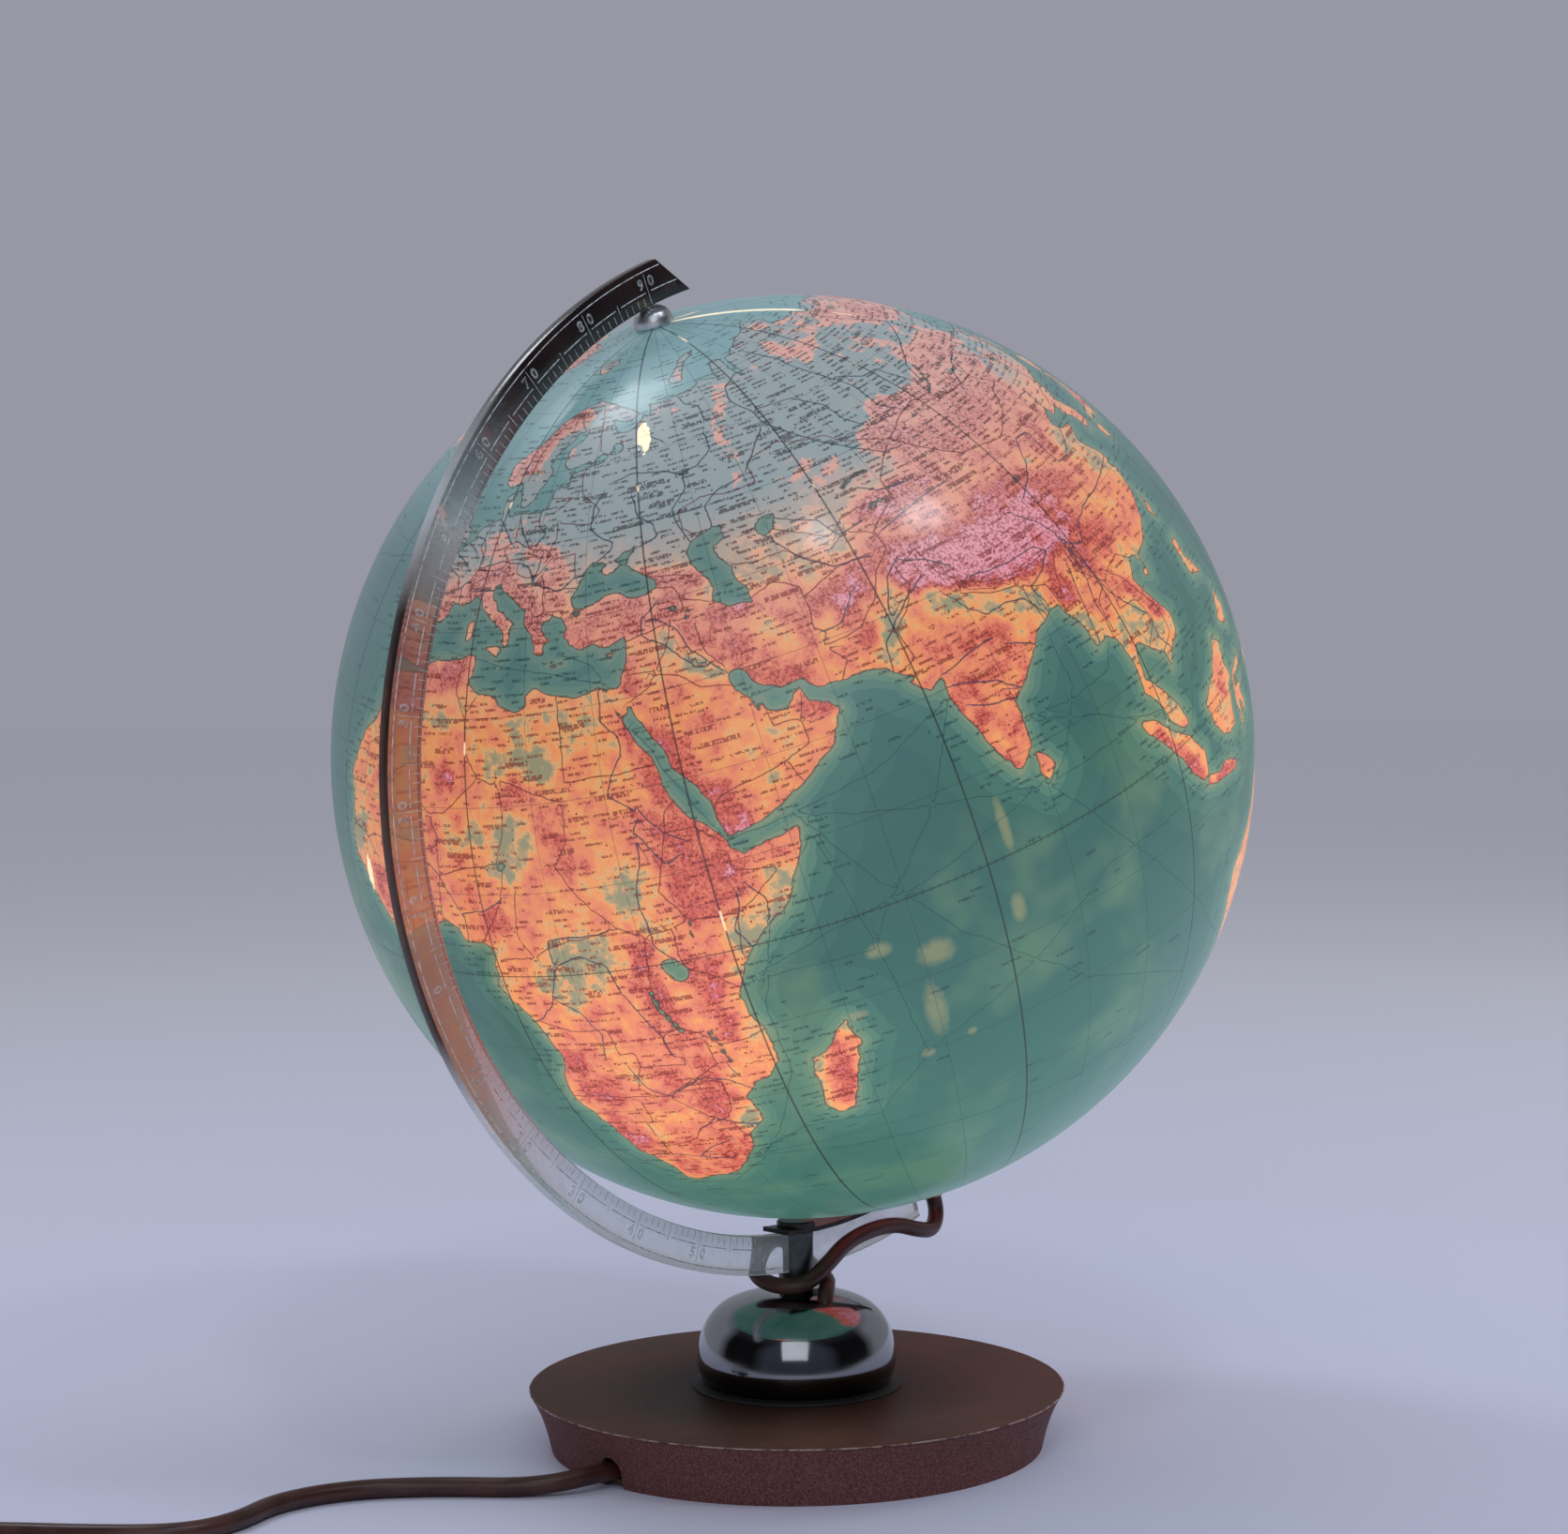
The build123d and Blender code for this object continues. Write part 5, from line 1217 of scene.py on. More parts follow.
class MapPrint(Finish):
    # the printed map on the ball, with the place on it as lat and lon in degrees
    def __init__(self):
        super().__init__("reliefMap")
        self.local = self.node(
            "ShaderNodeMapping", {"vector_type": "TEXTURE"},
            {"Vector": self.place(), "Location": centre, "Rotation": (0, -tilt, 0)})
        x, y, z = self.axes(self.local)
        self.up = z * (1 / ballRadius)
        sine = self.up.lowest(0.99999).highest(-0.99999)
        self.lat = self.maths("ARCSINE", sine) * math.degrees(1)
        self.lon = self.maths("ARCTAN2", y, x) * math.degrees(1) + globe["firstMeridian"]
        self.cosLat = self.maths("COSINE", self.lat * math.radians(1))
        self.fine = self.noise(420, 4.0, 0.6, self.local)
        self.finer = self.noise(1500, 3.0, 0.6, self.local)
        self.patchy = self.noise(170, 5.0, 0.6, self.local)
        self.broad = self.noise(60, 4.0, 0.55, self.local)
        self.coast = self.held("coast") + (self.fine - 0.5) * 1.6
        self.onLand = self.coast.between(-0.06, 0.06)

    def held(self, name):
        return self.node("ShaderNodeAttribute", {"attribute_name": name}, output="Fac")

    def scattered(self, key, output):
        return self.node("ShaderNodeTexWhiteNoise", {"noise_dimensions": "3D"}, {"Vector": key}, output)

    def awayFrom(self, spot, rough=0.0):
        # 0 in the middle of an oval and 1 on its edge
        lon, lat, halfLon, halfLat = spot
        overLon = (self.lon - lon) * (1 / halfLon) + rough
        overLat = (self.lat - lat) * (1 / halfLat) + rough
        return overLon * overLon + overLat * overLat

    def seaTint(self):
        # shelves along the coasts and deeper steps further out; paler and bluer to the north, a painted
        # sheen of the light on the ball's top
        depth = 0 - self.held("coast") + (self.broad - 0.5) * 5.0 + (self.fine - 0.5) * 1.2
        sea = self.ramp(depth.between(0, 24), globe["seaTints"], "CONSTANT")
        shallow = self.noise(22, 3.0, 0.6, self.local).between(0.5, 0.64)
        shallow = shallow * self.lat.between(14, -2) * 0.5
        sea = self.mix(shallow, sea, paint(108, 138, 106))
        for bank in globe["banks"]:
            rise = (self.awayFrom(bank) + (self.fine - 0.5) * 2.6).between(2.6, 0.3)
            sea = self.mix(rise * 0.55, sea, paint(154, 150, 108))
        sea = self.mix(self.up.between(-0.1, -0.75) * 0.5, sea, paint(78, 130, 116))
        # painted sheen: the seas paler and bluer towards the top of the ball
        sea = self.mix(self.lat.between(6, 44) * 0.5, sea, paint(112, 144, 150))
        return self.mix(self.lat.between(46, 66) * 0.65, sea, paint(144, 182, 190))

    def landTint(self):
        # tints by height, with crisp edges as printed; paler and pinker to the north as a painted sheen
        # of the light on the ball's top, and colder on the northern lowlands, partly their print and
        # partly painted sheen
        height = self.held("height") + (self.broad - 0.5) * 0.7 + (self.patchy - 0.5) * 1.2
        height = height + (self.fine - 0.5) * 0.3
        tints = self.ramp(height, globe["landTints"], "CONSTANT")
        # painted sheen: the north paler and pinker
        paintedNorthSheen = self.mix(self.lat.between(28, 52) * 0.68, tints, paint(228, 188, 182))
        # northern lowlands blue-grey: partly their print, partly a painted sheen
        lowlandPrintAndSheen = self.lat.between(43, 50) * (1 - height.between(0.34, 0.46))
        return height, self.mix(lowlandPrintAndSheen * 0.9, paintedNorthSheen, paint(148, 168, 172))

    def tinted(self):
        height, ground = self.landTint()
        colour = self.mix(self.onLand, self.seaTint(), ground)
        grain = self.noise(1100, 2.0, 0.7, self.local)      # hachures on the high ground
        hatch = grain.between(0.5, 0.56) * height.between(0.5, 0.74) * self.onLand
        return self.mix(hatch * 0.62, colour, paint(140, 38, 40))

    def markRows(self, rowStep, word, density, tall, seed):
        # rows of small printed marks in place of names, with sizes in degrees
        rows = self.lat * (1 / rowStep)
        row = rows.floor()
        up = rows.fraction()
        rowLat = row * rowStep * math.radians(1)
        along = self.lon * self.maths("COSINE", rowLat) * (1 / word) + row * 0.377
        key = self.node("ShaderNodeCombineXYZ", None, {0: along.floor(), 1: row, 2: seed})
        pick = self.scattered(key, "Color")
        chance, share, lift = [self.node("ShaderNodeSeparateColor", None, {0: pick}, part)
                               for part in range(3)]
        stroke = (along * (word / 0.17)).floor()
        strokeKey = self.node("ShaderNodeCombineXYZ", None, {0: stroke, 1: row, 2: (up * 5).floor()})
        letter = self.scattered(strokeKey, "Value") > 0.3
        inWord = along.fraction() < (0.3 + share * 0.62)
        inRow = abs(up - 0.35 - lift * 0.3) < tall
        return (chance < density) * inWord * inRow * letter

    def lettered(self, colour):
        crowded = self.lat.between(30, 48)
        nearCoast = (12 - abs(self.held("coast"))).between(0, 6)
        small = self.markRows(0.8, 2.5, 0.48 + crowded * 0.28, 0.2, 1.0) * self.onLand
        large = self.markRows(1.7, 5.6, 0.2 + crowded * 0.1, 0.17, 5.0) * self.onLand
        atSea = self.markRows(0.8, 2.9, 0.03 + nearCoast * 0.5, 0.2, 9.0) * (1 - self.onLand)
        ink = self.mix(self.lat.between(37, 47), paint(132, 44, 36), paint(52, 46, 52))
        colour = self.mix(small.highest(large) * 0.72, colour, ink)
        colour = self.mix(atSea * 0.6, colour, paint(26, 52, 54))
        dots = self.node("ShaderNodeTexVoronoi", {"feature": "F1"},
                         {"Vector": self.local, "Scale": 250.0}, "Distance")
        towns = (dots < 0.085) * self.onLand
        return self.mix(towns * 0.85, colour, paint(112, 26, 28))

    def line(self, name, width):
        middle = self.held(name) + (self.finer - 0.5) * 0.5
        return (1 - abs(middle).between(width * 0.5, width)) * (self.held(name + "Near") < 2.2)

    def ruled(self, colour):
        # rivers, borders, sea routes, shores, parallels and meridians, and the equator with its ticks
        colour = self.mix(self.line("river", 0.34) * self.onLand * 0.8, colour, paint(30, 58, 78))
        colour = self.mix(self.line("border", 0.3) * self.onLand * 0.72, colour, paint(98, 30, 34))
        routes = self.line("seaRoute", 0.2) * (1 - self.onLand)
        colour = self.mix(routes * 0.6, colour, paint(22, 58, 60))
        shore = 1 - abs(self.coast).between(0.12, 0.34)
        colour = self.mix(shore * 0.7, colour, paint(40, 52, 52))
        acrossLat = abs((self.lat * 0.1 + 0.5).fraction() - 0.5) * (10 * perDegree)
        acrossLon = abs((self.lon * 0.1 + 0.5).fraction() - 0.5) * self.cosLat * (10 * perDegree)
        net = 1 - acrossLat.lowest(acrossLon).between(0.06, 0.2)
        colour = self.mix(net * 0.42, colour, paint(40, 44, 46))
        fromEquator = abs(self.lat * perDegree)
        equator = 1 - fromEquator.between(0.1, 0.28)
        ticks = (fromEquator < 0.9) * (abs((self.lon + 0.5).fraction() - 0.5) < 0.05)
        return self.mix(equator.highest(ticks) * 0.6, colour, paint(26, 34, 36))

    def seams(self):
        # the seams between the gores, and the bare chips and slits that let the lamp through
        phase = (self.lon - globe["seamFirst"]) * (1 / globe["seamStep"])
        across = abs((phase + 0.5).fraction() - 0.5) * self.cosLat
        seamGap = across * (globe["seamStep"] * perDegree)
        seam = 1 - seamGap.between(0.12, 0.42)
        flaws = self.noise(70, 2.0, 0.5, self.local).between(0.67, 0.7)
        bare = flaws * (seamGap < 0.36) * 0.75
        rough = (self.fine - 0.5) * 1.7
        for chip in globe["chips"]:
            bare = bare.highest((self.awayFrom(chip, rough) < 1.0) * (seamGap > 0.3))
        for lon, low, high, half in globe["slits"]:
            along = self.lat.between(low, low + 1.5) * (1 - self.lat.between(high - 3, high))
            fromSlit = abs(self.lon - lon) * self.cosLat * perDegree
            bare = bare.highest(fromSlit < along * half * (0.6 + self.fine * 0.8))
        return seam, bare

    def lit(self, colour, bare):
        # the lamp inside lights the lower half more than the top
        level = 0.42 + self.up.between(0.75, -0.15) * 0.32 + self.up.between(0.3, -0.95) * 0.18
        light = self.node("ShaderNodeCombineXYZ", None, {0: level, 1: level, 2: level * 0.96})
        glow = self.mix(1.0, self.mix(bare, colour, paint(255, 236, 196)), light, "MULTIPLY")
        return self.mix(bare, glow, paint(255, 232, 190))


def mapFinish():
    f = MapPrint()
    seam, bare = f.seams()
    colour = f.ruled(f.lettered(f.tinted()))
    colour = f.mix(seam * 0.72, colour, paint(38, 40, 42))
    shader = f.node("ShaderNodeBsdfPrincipled", None, {
        "Base Color": f.mix(1.0, colour, (0.62, 0.64, 0.66, 1), "MULTIPLY"),
        "Roughness": 0.42 + (f.broad - 0.5) * 0.1, "Coat Weight": 0.35, "Coat Roughness": 0.16,
        "Emission Color": f.lit(colour, bare), "Emission Strength": globe["glow"],
        "Normal": f.bump(seam * -1.0 + f.broad * 0.4, 0.35, 0.15 * mm)})
    return f.done(shader)


mapPrint = mapFinish()
northHalf = hemisphere("northernHemisphere", 1)
settle(northHalf, mapPrint, "globe", "map_print", "northern_hemisphere")
southHalf = hemisphere("southernHemisphere", -1)
settle(southHalf, mapPrint, "globe", "map_print", "southern_hemisphere")
print("ball made:", len(northHalf.data.polygons) + len(southHalf.data.polygons), "triangles")


# The arm lies in the XZ plane. Angles run from straight down, positive towards -X.

arm = {
    "outer": 169.5 * mm,
    "inner": 156.6 * mm,
    "thick": 4.0 * mm,
    "edge": 0.4 * mm,                    # rounding of the long edges
    "south": -20.0,
    "northOuter": 158.85,                # the north end is cut at a slant
    "northInner": 162.8,
    "equator": 66.5,                     # angle at which the scale reads 0
    "steps": 146,
}
armTurn = Matrix(((0, -1, 0, 0), (0, 0, 1, 0), (-1, 0, 0, 0), (0, 0, 0, 1)))
armFrame = Matrix.Translation(centre) @ armTurn    # from radius, arc and thickness to the real place


def onArm(radius, degrees, across=0.0):
    angle = math.radians(degrees)
    return centre + Vector((-radius * math.sin(angle), across, -radius * math.cos(angle)))


def sweptOnArm(name, outline, start, end, steps):
    # a closed (radius, thickness) profile swept along the arm between two angles
    piece = outlined(name, outline, closed=True)
    bpy.ops.mesh.select_all(action="SELECT")
    bpy.ops.mesh.spin(steps=steps, angle=math.radians(end - start), center=(0, 0, 0), axis=(0, 0, 1))
    bpy.ops.mesh.select_all(action="SELECT")
    bpy.ops.mesh.remove_doubles(threshold=0.002 * mm)
    bpy.ops.mesh.select_mode(type="EDGE")
    bpy.ops.mesh.select_all(action="DESELECT")
    bpy.ops.mesh.select_non_manifold()
    bpy.ops.mesh.fill_holes(sides=0)
    bpy.ops.mesh.select_all(action="SELECT")
    bpy.ops.mesh.normals_make_consistent(inside=False)
    doneEditing()
    # the spin runs back from the end
    piece.data.transform(armFrame @ Matrix.Rotation(math.radians(end), 4, "Z"))
    return piece


def makeArm():
    half = arm["thick"] / 2
    inner, outer, edge = arm["inner"], arm["outer"], arm["edge"]
    soft = edge * 0.3
    profile = [
        (inner, -half + edge), (inner + soft, -half + soft), (inner + edge, -half),
        (outer - edge, -half), (outer - soft, -half + soft), (outer, -half + edge),
        (outer, half - edge), (outer - soft, half - soft), (outer - edge, half),
        (inner + edge, half), (inner + soft, half - soft), (inner, half - edge),
    ]
    piece = sweptOnArm("meridianArm", profile, arm["south"], arm["northInner"] + 1, arm["steps"])
    a = onArm(outer, arm["northOuter"])
    b = onArm(inner, arm["northInner"])
    away = (b - a).cross(Vector((0, 1, 0))).normalized()
    if away.dot(onArm(outer, 100) - a) > 0:
        away.negate()
    editing(piece)
    bpy.ops.mesh.select_all(action="SELECT")
    bpy.ops.mesh.bisect(plane_co=a, plane_no=away, clear_outer=True, use_fill=True)
    doneEditing()
    return smooth(piece, 40)


def armFinish():
    # a painted dark reflection at the north end, clear below it, with a glowing veil that holds a painted
    # reflection of the ball's glow and a painted sheen
    f = Finish("armAcrylic")
    x, _, z = f.axes(f.place())
    down = centre.z - z
    angle = f.maths("ARCTAN2", 0 - x, down) * math.degrees(1)
    angle = f.maths("MODULO", angle + 450, 360.0) - 90
    lat = angle - arm["equator"]
    reach = f.maths("SQRT", x * x + down * down)
    rim = reach > arm["outer"] - 0.35 * mm
    cloud = f.noise(45, 3.0)
    scuffs = f.noise(900, 4.0, 0.7)
    scratch = f.noise(260, 6.0).between(0.5, 0.75)
    # painted dark reflection of the room on the north end, its edge broken by the cloud noise
    dark = (lat + (cloud - 0.5) * 6).between(51, 69)
    # the stretch beside the ball that gets a painted reflection of its glow
    paintedGlowReach = lat.between(-30, -8) * (1 - lat.between(40, 54))
    # the clear part takes a warmer, darker tint towards the north as the painted dark reflection fades in
    clear = f.node("ShaderNodeBsdfPrincipled", None, {
        "Base Color": f.mix(lat.between(30, 60), (0.965, 0.985, 0.985, 1), (0.86, 0.8, 0.78, 1)),
        "Roughness": 0.03 + scratch * 0.1, "Transmission Weight": 1.0, "IOR": 1.49,
        "Normal": f.bump(cloud, 0.12, 0.25 * mm)})
    # painted reflection of the ball's orange glow, duller towards the north
    glow = f.mix(lat.between(-5, 38), paint(212, 118, 76), paint(128, 84, 72))
    tone = f.mix(paintedGlowReach, paint(192, 198, 204), glow)
    # the outer edge: a pale painted highlight, and painted shade where it runs beside the ball
    inShade = lat.between(-14, -4) * (1 - lat.between(40, 54))
    tone = f.mix(rim, tone, f.mix(inShade, paint(214, 220, 224), paint(26, 22, 22)))
    # the veil glows with its tone: a painted glow, and a pale painted sheen away from the ball
    paintedGlowVeil = f.node("ShaderNodeBsdfPrincipled", None, {
        "Base Color": tone, "Roughness": 0.35, "Emission Color": tone, "Emission Strength": 0.16})
    # the veil's share grows with the painted glow, the real scratches and the painted rim
    amount = 0.2 + paintedGlowReach * 0.22 + scratch * 0.12 + rim * 0.45
    lower = f.node("ShaderNodeMixShader", None, {0: amount.lowest(1.0), 1: clear, 2: paintedGlowVeil})
    # the painted dark reflection itself: a dark glossy surface
    paintedDarkReflection = f.node("ShaderNodeBsdfPrincipled", None, {
        "Base Color": f.mix(cloud.between(0.4, 0.6), paint(34, 24, 24), paint(48, 34, 32)),
        "Roughness": 0.2 + scuffs * 0.15, "Coat Weight": 0.5, "Coat Roughness": 0.1})
    return f.done(f.node("ShaderNodeMixShader", None, {0: dark, 1: lower, 2: paintedDarkReflection}))


scale = {
    "proud": 0.05 * mm,                  # how far the marks stand off the face, so that they are seen
    "deep": 0.12 * mm,
    "first": -60,
    "last": 90,
    "minor": 2.7 * mm,                   # lengths of the 1, 5 and 10 degree ticks, from the inner edge
    "middle": 5.4 * mm,
    "major": 9.6 * mm,
    "tickWide": 0.14 * mm,
    "outerLine": 167.6 * mm,
    "innerLine": 161.1 * mm,
    "lineWide": 0.3 * mm,
    "gap": 0.45,                         # degrees left open each side of a long tick
    "digits": 163.9 * mm,
    "digitHigh": 3.3 * mm,
    "digitStroke": 0.11 * mm,
    "apart": 0.8,                        # degrees from the tick to each digit
}


def markFace():
    # the marks' near and far side: they are let into the arm's front face
    front = -arm["thick"] / 2
    return front - scale["proud"], front + scale["deep"]


def tickLength(degree):
    if degree % 10 == 0:
        return scale["major"]
    return scale["middle"] if degree % 5 == 0 else scale["minor"]


def makeTicks():
    near, far = markFace()
    start = arm["inner"] + 0.5 * mm
    ticks = []
    for degree in range(scale["first"], scale["last"] + 1):
        length = tickLength(degree)
        deselectAll()
        bpy.ops.mesh.primitive_cube_add(size=1, location=(start + length / 2, 0, (near + far) / 2))
        bpy.ops.transform.resize(value=(length, scale["tickWide"], far - near))
        tick = newPiece("tick")
        tick.data.transform(armFrame @ Matrix.Rotation(math.radians(degree + arm["equator"]), 4, "Z"))
        ticks.append(tick)
    return ticks


def makeLines():
    near, far = markFace()
    wide = scale["lineWide"] / 2

    def arc(radius, start, end):
        low, high = radius - wide, radius + wide
        outline = [(low, near), (high, near), (high, far), (low, far)]
        steps = max(2, round((end - start) / 1.2))
        return sweptOnArm("scaleLine", outline, start + arm["equator"], end + arm["equator"], steps)

    lines = [arc(scale["outerLine"], scale["first"] - 3, scale["last"] + 2.6)]
    for start in range(scale["first"], scale["last"] + 5, 5):
        end = min(start + 5, scale["last"] + 5)
        lines.append(arc(scale["innerLine"], start + scale["gap"], end - scale["gap"]))
    return lines


def makeDigits():
    near, _ = markFace()
    digits = []
    for degree in range(scale["first"], scale["last"] + 1, 10):
        text = f"{abs(degree)}"
        places = (-scale["apart"], scale["apart"]) if len(text) == 2 else (scale["apart"],)
        for digit, off in zip(text, places):
            deselectAll()
            bpy.ops.object.text_add()
            mark = bpy.context.object
            mark.data.body = digit
            mark.data.size = scale["digitHigh"] / 0.7
            mark.data.align_x = "CENTER"
            mark.data.align_y = "CENTER"
            mark.data.fill_mode = "NONE"
            mark.data.bevel_depth = scale["digitStroke"]
            mark.data.bevel_resolution = 0
            mark.data.resolution_u = 3
            mark = toMesh(mark)
            if degree < 0:
                off = -off               # south of the equator the figures stand the other way up
            turn = degree + arm["equator"] + off
            outward = onArm(1, turn) - centre
            up = outward if degree >= 0 else -outward
            right = up.cross(Vector((0, -1, 0)))
            spot = onArm(scale["digits"], turn, near + 0.02 * mm)
            frameOf = Matrix((right, up, right.cross(up))).transposed().to_4x4()
            mark.data.transform(Matrix.Translation(spot) @ frameOf)
            digits.append(mark)
    return digits


def markFinish():
    f = Finish("engraving")
    worn = f.noise(500, 4.0)
    tone = f.mix(worn.between(0.35, 0.62), paint(150, 158, 164), paint(236, 240, 244))
    shader = f.surface(Base_Color=tone, Roughness=0.5 + (worn - 0.5) * 0.3,
                       Alpha=worn.between(0.2, 0.45) * 0.4 + 0.6)
    return f.done(shader)


settle(makeArm(), armFinish(), "stand", "clear_acrylic", "meridian_arm")
scaleMarks = joined("scaleMarks", makeTicks() + makeLines() + makeDigits())
settle(scaleMarks, markFinish(), "stand", "clear_acrylic")
print("arm and scale made:", len(scaleMarks.data.polygons), "faces of marks")


foot = {
    "topRadius": 88.4,
    "lowRadius": 81.0,
    "high": 19.5,
    "wall": 1.5,
    "rim": 0.45,                         # rounding of the rim
    "rings": (70.0, 50.0, 30.0),         # radii of the edges across the top
    "hole": 5.0,                         # radius of the hole for the rod
    "archWide": 8.8,                     # opening for the lead
    "archHigh": 10.0,
    "archDeep": 24.0,
    "archDown": 12.0,                    # how far the cut goes on below the arch
}


def footRadius(z):
    # the side flares more towards the top
    part = z / foot["high"]
    flare = 0.62 * part + 0.38 * part ** 3
    return foot["lowRadius"] + (foot["topRadius"] - foot["lowRadius"]) * flare


def makeFoot():
    high, wall, hole = foot["high"], foot["wall"], foot["hole"]
    outerRing, *innerRings = foot["rings"]
    levels = [high * step / 12 for step in range(12)]
    outside = [(footRadius(z), z) for z in levels]
    innerLevels = [(high - wall) * step / 6 for step in range(7)]
    inside = [(footRadius(z) - wall, z) for z in reversed(innerLevels)]
    rim = softened([outside[-1], (foot["topRadius"], high), (outerRing, high)], foot["rim"])
    outline = [(hole, high - wall)] + inside + [(foot["lowRadius"] - wall + 0.4, 0.0)]
    outline += outside[:-1] + rim + [(ring, high) for ring in (*innerRings, hole)]
    shell = turned("footShell", [(r * mm, z * mm) for r, z in outline], 160, closed=True)
    deselectAll()
    half = foot["archWide"] / 2
    archPlace = (-foot["lowRadius"] * mm, 0, (foot["archHigh"] - half) * mm)
    bpy.ops.mesh.primitive_cylinder_add(vertices=48, radius=half * mm,
                                        depth=foot["archDeep"] * mm,
                                        location=archPlace, rotation=(0, math.pi / 2, 0))
    cutter = newPiece("archCutter")
    selectFaces(cutter, lambda face: face.normal.z < -0.2)
    down = (0, 0, -foot["archDown"] * mm)
    bpy.ops.mesh.extrude_region_move(TRANSFORM_OT_translate={"value": down})
    bpy.ops.mesh.select_all(action="SELECT")
    bpy.ops.mesh.normals_make_consistent(inside=False)
    doneEditing()
    cut = shell.modifiers.new("arch", "BOOLEAN")
    cut.operation = "DIFFERENCE"
    cut.object = cutter
    cut.solver = "EXACT"
    applyAll(shell)
    bpy.data.objects.remove(cutter)
    return smooth(shell, 32)


def hammered():
    f = Finish("hammeredPaint")
    x, y, z = f.axes(f.place())
    reach = f.maths("SQRT", x * x + y * y) * (1 / mm)
    dimples = f.node("ShaderNodeTexVoronoi", {"feature": "SMOOTH_F1"},
                     {"Vector": f.place(), "Scale": 620.0}, "Distance")
    fleck = f.noise(1400, 3.0, 0.7)
    cloud = f.noise(28, 4.0, 0.6)
    onSide = (foot["high"] - 0.5 - z * (1 / mm)).between(0.0, 0.8)
    tone = f.mix(cloud.between(0.35, 0.68), paint(80, 52, 45), paint(104, 68, 58))
    # painted shade on the top around the dome
    tone = f.mix((60 - reach).between(-6, 24) * 0.6, tone, paint(30, 21, 20))
    # the side is a lighter copy of the same paint, painted light on it
    side = f.mix(fleck.between(0.4, 0.66), paint(96, 58, 56), paint(152, 104, 102))
    tone = f.mix(onSide * 0.8, tone, side)
    tone = f.mix(fleck.between(0.6, 0.72) * 0.3, tone, paint(146, 112, 106))
    rimGap = abs(reach - foot["topRadius"] + 0.15).highest(abs(z * (1 / mm) - foot["high"]))
    # the rim's edge: rubbed bare metal from wear, and a painted glint in its pale colour
    rubbedEdgeAndGlint = (1 - rimGap.between(0.15, 0.55)) * f.noise(160, 4.0, 0.7).between(0.4, 0.56)
    tone = f.mix(rubbedEdgeAndGlint * 0.8, tone, paint(214, 184, 178))
    dust = f.noise(340, 5.0, 0.7).between(0.62, 0.72) * (1 - onSide)
    tone = f.mix(dust * 0.18, tone, paint(170, 150, 150))
    shader = f.node("ShaderNodeBsdfPrincipled", None, {
        "Base Color": tone, "Metallic": rubbedEdgeAndGlint * 0.4, "Specular IOR Level": 0.1,
        "Roughness": 0.5 + (cloud - 0.5) * 0.25 + onSide * 0.08,
        "Normal": f.bump(dimples * (0.35 + onSide * 0.65) + fleck * 0.25, 0.5, 0.25 * mm)})
    return f.done(shader)


dome = {
    "low": 20.5,
    "high": 50.8,
    "shape": [                           # radius, and share of the height
        (30.4, 0.0), (32.4, 0.14), (32.8, 0.30), (30.6, 0.62), (24.4, 0.85), (14.0, 0.975), (6.0, 1.0),
    ],
    "wall": 1.0,
}


def makeDome():
    rise = dome["high"] - dome["low"]
    outside = flowing([(r, dome["low"] + rise * part) for r, part in dome["shape"]], 8)
    mouth = dome["shape"][0][0]
    lip = [(mouth - dome["wall"] * 1.6, dome["low"] + 2.0), (mouth - dome["wall"], dome["low"] + 0.1),
           (mouth - 0.4, dome["low"])]
    outline = lip + outside + [(4.4, dome["high"] - 0.05)]
    piece = turned("domeCover", [(r * mm, z * mm) for r, z in outline], 128)
    return smooth(piece, 50)


gasket = {
    "shape": [                           # radius, and height above the foot
        (29.2, 0.0), (34.4, 0.0), (34.6, 0.3), (34.2, 0.9), (32.4, 1.15), (30.8, 1.3), (29.2, 1.0),
    ],
}


def makeGasket():
    outline = [(r, foot["high"] + rise) for r, rise in gasket["shape"]]
    piece = turned("domeGasket", [(r * mm, z * mm) for r, z in outline], 96, closed=True)
    return smooth(piece)


hub = {
    "shape": [                           # radius, and distance from the centre of the ball
        (0, 156.1), (3.3, 156.0), (5.3, 154.6), (6.2, 152.8), (6.5, 150.3), (4.5, 150.1),
    ],
    "rounding": 0.7,
}


def makeHub():
    outline = softened(hub["shape"], hub["rounding"])
    piece = turned("northHub", [(r * mm, z * mm) for r, z in outline], 64)
    return smooth(leaned(piece), 45)


def chromeFinish(name, tint, roughness, darkerLow=0.0):
    # the last argument darkens the metal towards the bottom
    f = Finish(name)
    haze = f.noise(40, 4.0, 0.65)
    pits = f.noise(850, 4.0, 0.7)
    _, _, z = f.axes(f.place())
    tint = f.mix(z.between(0.036, 0.022) * darkerLow, tint, paint(70, 68, 66))
    tone = f.mix(haze.between(0.5, 0.72) * 0.5, tint, paint(140, 136, 134))
    tone = f.mix(pits.between(0.68, 0.76) * 0.6, tone, paint(84, 72, 66))
    shader = f.node("ShaderNodeBsdfPrincipled", None, {
        "Base Color": tone, "Metallic": 1.0, "Roughness": roughness + haze.between(0.48, 0.8) * 0.1,
        "Normal": f.bump(haze, 0.1, 0.3 * mm)})
    return f.done(shader)


chromed = chromeFinish("chromePlate", paint(156, 159, 164), 0.09, 0.85)
satinChrome = chromeFinish("satinChrome", paint(208, 210, 214), 0.36)
settle(makeFoot(), hammered(), "stand", "foot_paint", "base_shell")
settle(makeDome(), chromed, "stand", "chrome", "dome_cover")
rubber = flecked("gasketRubber", paint(22, 22, 24), paint(40, 38, 38), 700, 0.6, depth=0.06 * mm)
settle(makeGasket(), rubber, "stand", "rubber_gasket", "dome_gasket")
settle(makeHub(), satinChrome, "globe", "chrome", "north_hub")
print("foot, dome and hub made")


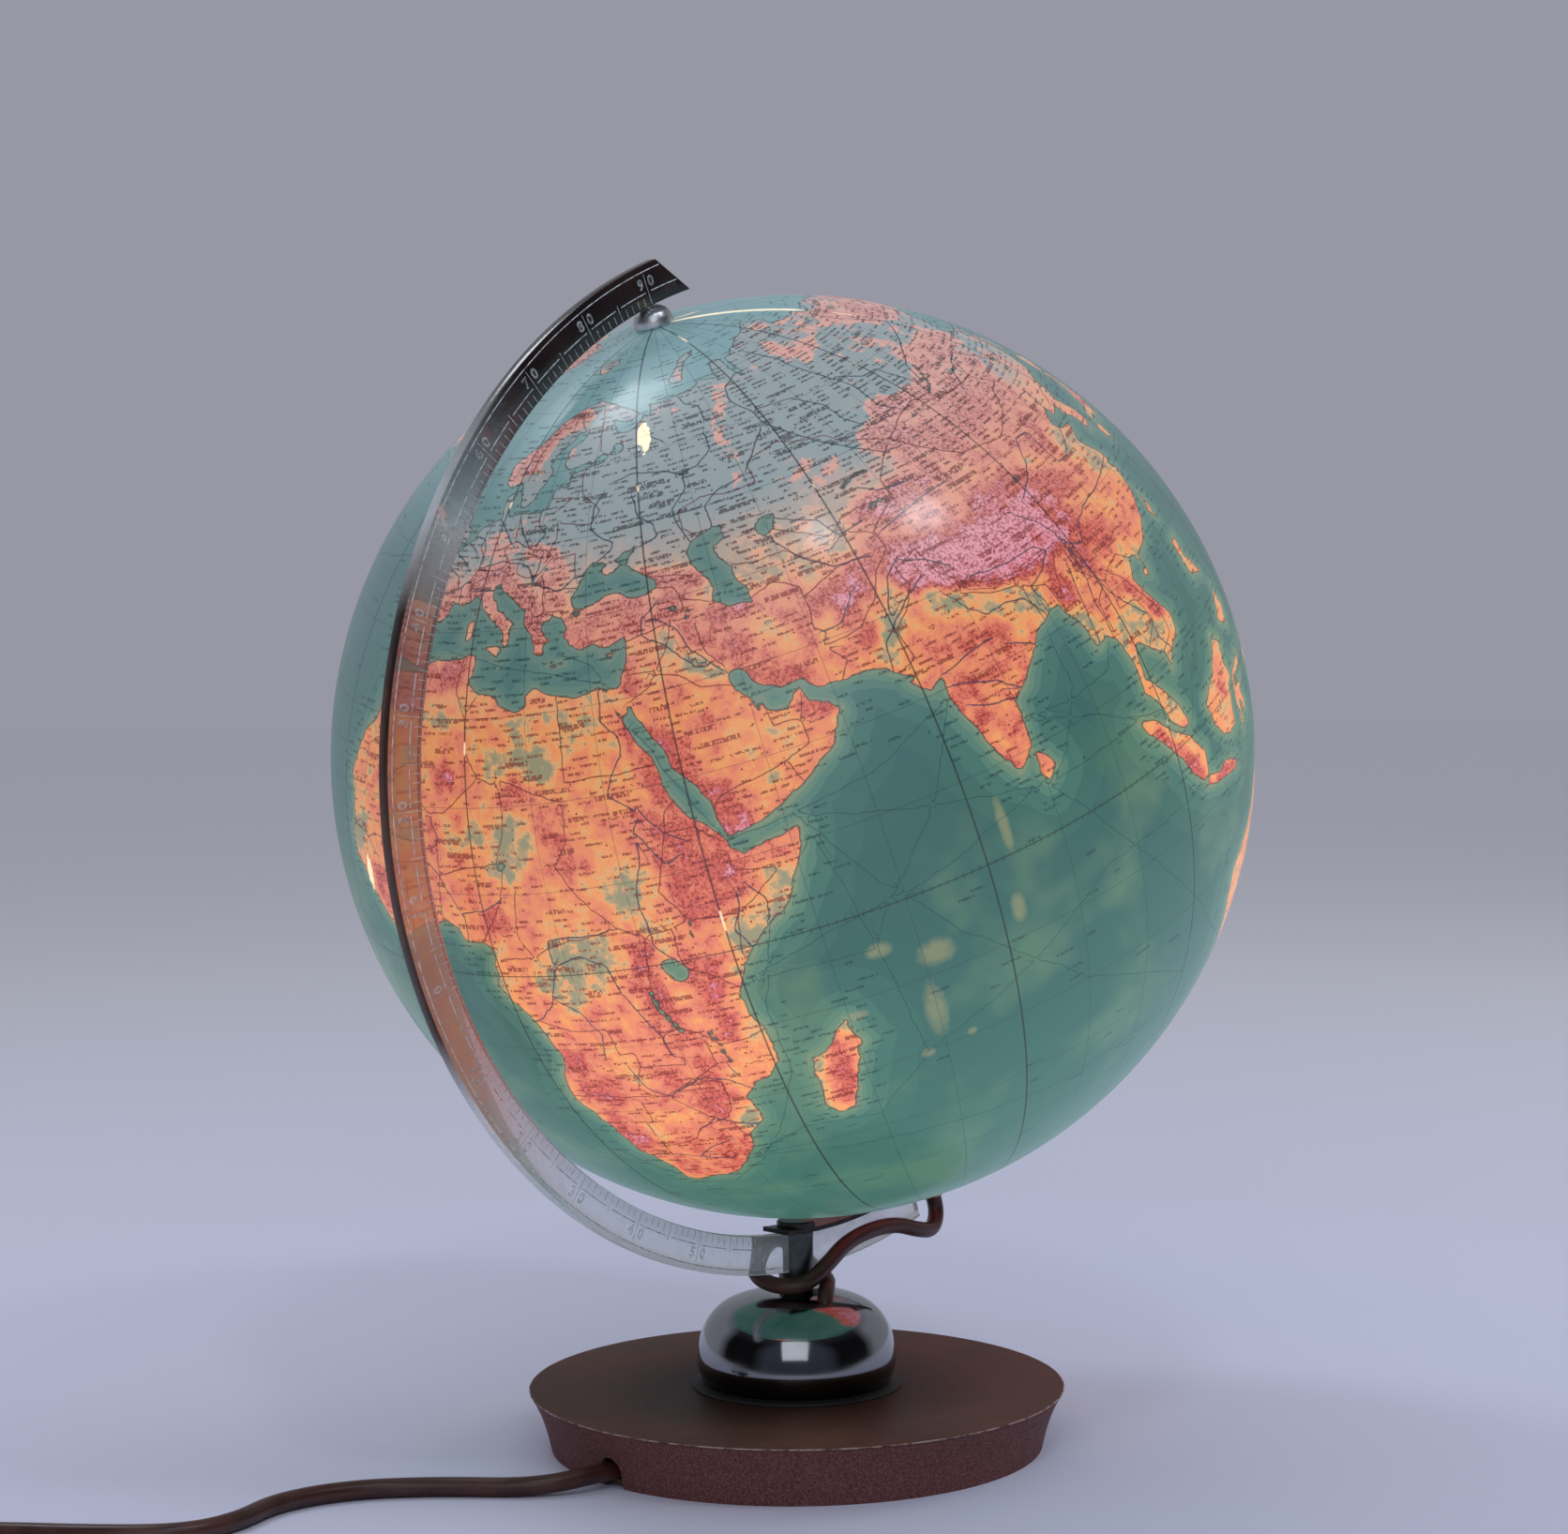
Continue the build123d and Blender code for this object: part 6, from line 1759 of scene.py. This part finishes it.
def glassFinish():
    f = Finish("bulbGlass")
    haze = f.noise(120, 2.0)
    shader = f.node("ShaderNodeBsdfPrincipled", None, {
        "Base Color": (1.0, 0.95, 0.86, 1), "Roughness": 0.25 + haze * 0.2, "Transmission Weight": 0.6,
        "Emission Color": (1.0, 0.72, 0.4, 1), "Emission Strength": 2.0})
    return f.done(shader)


def feltFinish():
    f = Finish("greenFelt")
    fibre = f.noise(1800, 5.0, 0.75)
    clump = f.noise(160, 3.0)
    tone = f.mix((fibre * 0.6 + clump * 0.4).between(0.35, 0.65), paint(34, 62, 46), paint(66, 98, 76))
    shader = f.surface(Base_Color=tone, Roughness=0.95, Normal=f.bump(fibre, 0.8, 0.3 * mm))
    return f.done(shader)


keptFinishes = [
    (flecked("castIron", paint(62, 60, 60), paint(92, 84, 78), 260, 0.62, 0.6, 0.3 * mm),
     ["base_weight"]),
    (flecked("fibreBoard", paint(92, 70, 50), paint(118, 92, 66), 500, 0.8, 0.0, 0.15 * mm),
     ["bottom_plate"]),
    (feltFinish(), ["base_felt"]),
    (flecked("zincPlate", paint(176, 178, 182), paint(140, 140, 138), 420, 0.34, 1.0, 0.04 * mm),
     ["plate_screws", "neck_rod", "rod_washer", "rod_nut", "grub_screw", "north_pin", "terminal_screws",
      "clamp_screws", "tube_nuts", "north_hub_nut"]),
    (flecked("dullNickel", paint(96, 100, 102), paint(74, 78, 80), 380, 0.42, 0.9, 0.05 * mm),
     ["neck_post"]),
    (flecked("blackenedSteel", paint(38, 36, 38), paint(66, 60, 58), 380, 0.36, 0.85, 0.06 * mm),
     ["lamp_strap", "strap_cap", "cap_screws"]),
    (flecked("plainBrass", paint(196, 156, 88), paint(150, 112, 62), 240, 0.3, 1.0, 0.05 * mm),
     ["lamp_tube", "holder_sleeve", "holder_contact", "bulb_cap", "south_bush", "south_bush_nut"]),
    (flecked("bakelite", paint(38, 26, 22), paint(54, 36, 30), 300, 0.28, 0.0, 0.04 * mm),
     ["lamp_holder", "terminal_block", "cord_clamp"]),
    (glassFinish(), ["bulb_glass"]),
    (flecked("filamentWire", paint(230, 190, 120), paint(180, 140, 90), 500, 0.4, 0.8),
     ["bulb_filament"]),
    (flecked("coreInsulation", paint(52, 84, 150), paint(66, 100, 168), 400, 0.5),
     ["lamp_cores", "mains_cores", "lamp_cores_foot"]),
    (flecked("whitePlastic", paint(226, 222, 210), paint(206, 200, 186), 300, 0.5),
     ["equator_band"]),
]
for finish, names in keptFinishes:
    for name in names:
        nodes[name].data.materials.clear()
        nodes[name].data.materials.append(finish)
print("finishes set on", sum(len(names) for _, names in keptFinishes), "kept nodes")
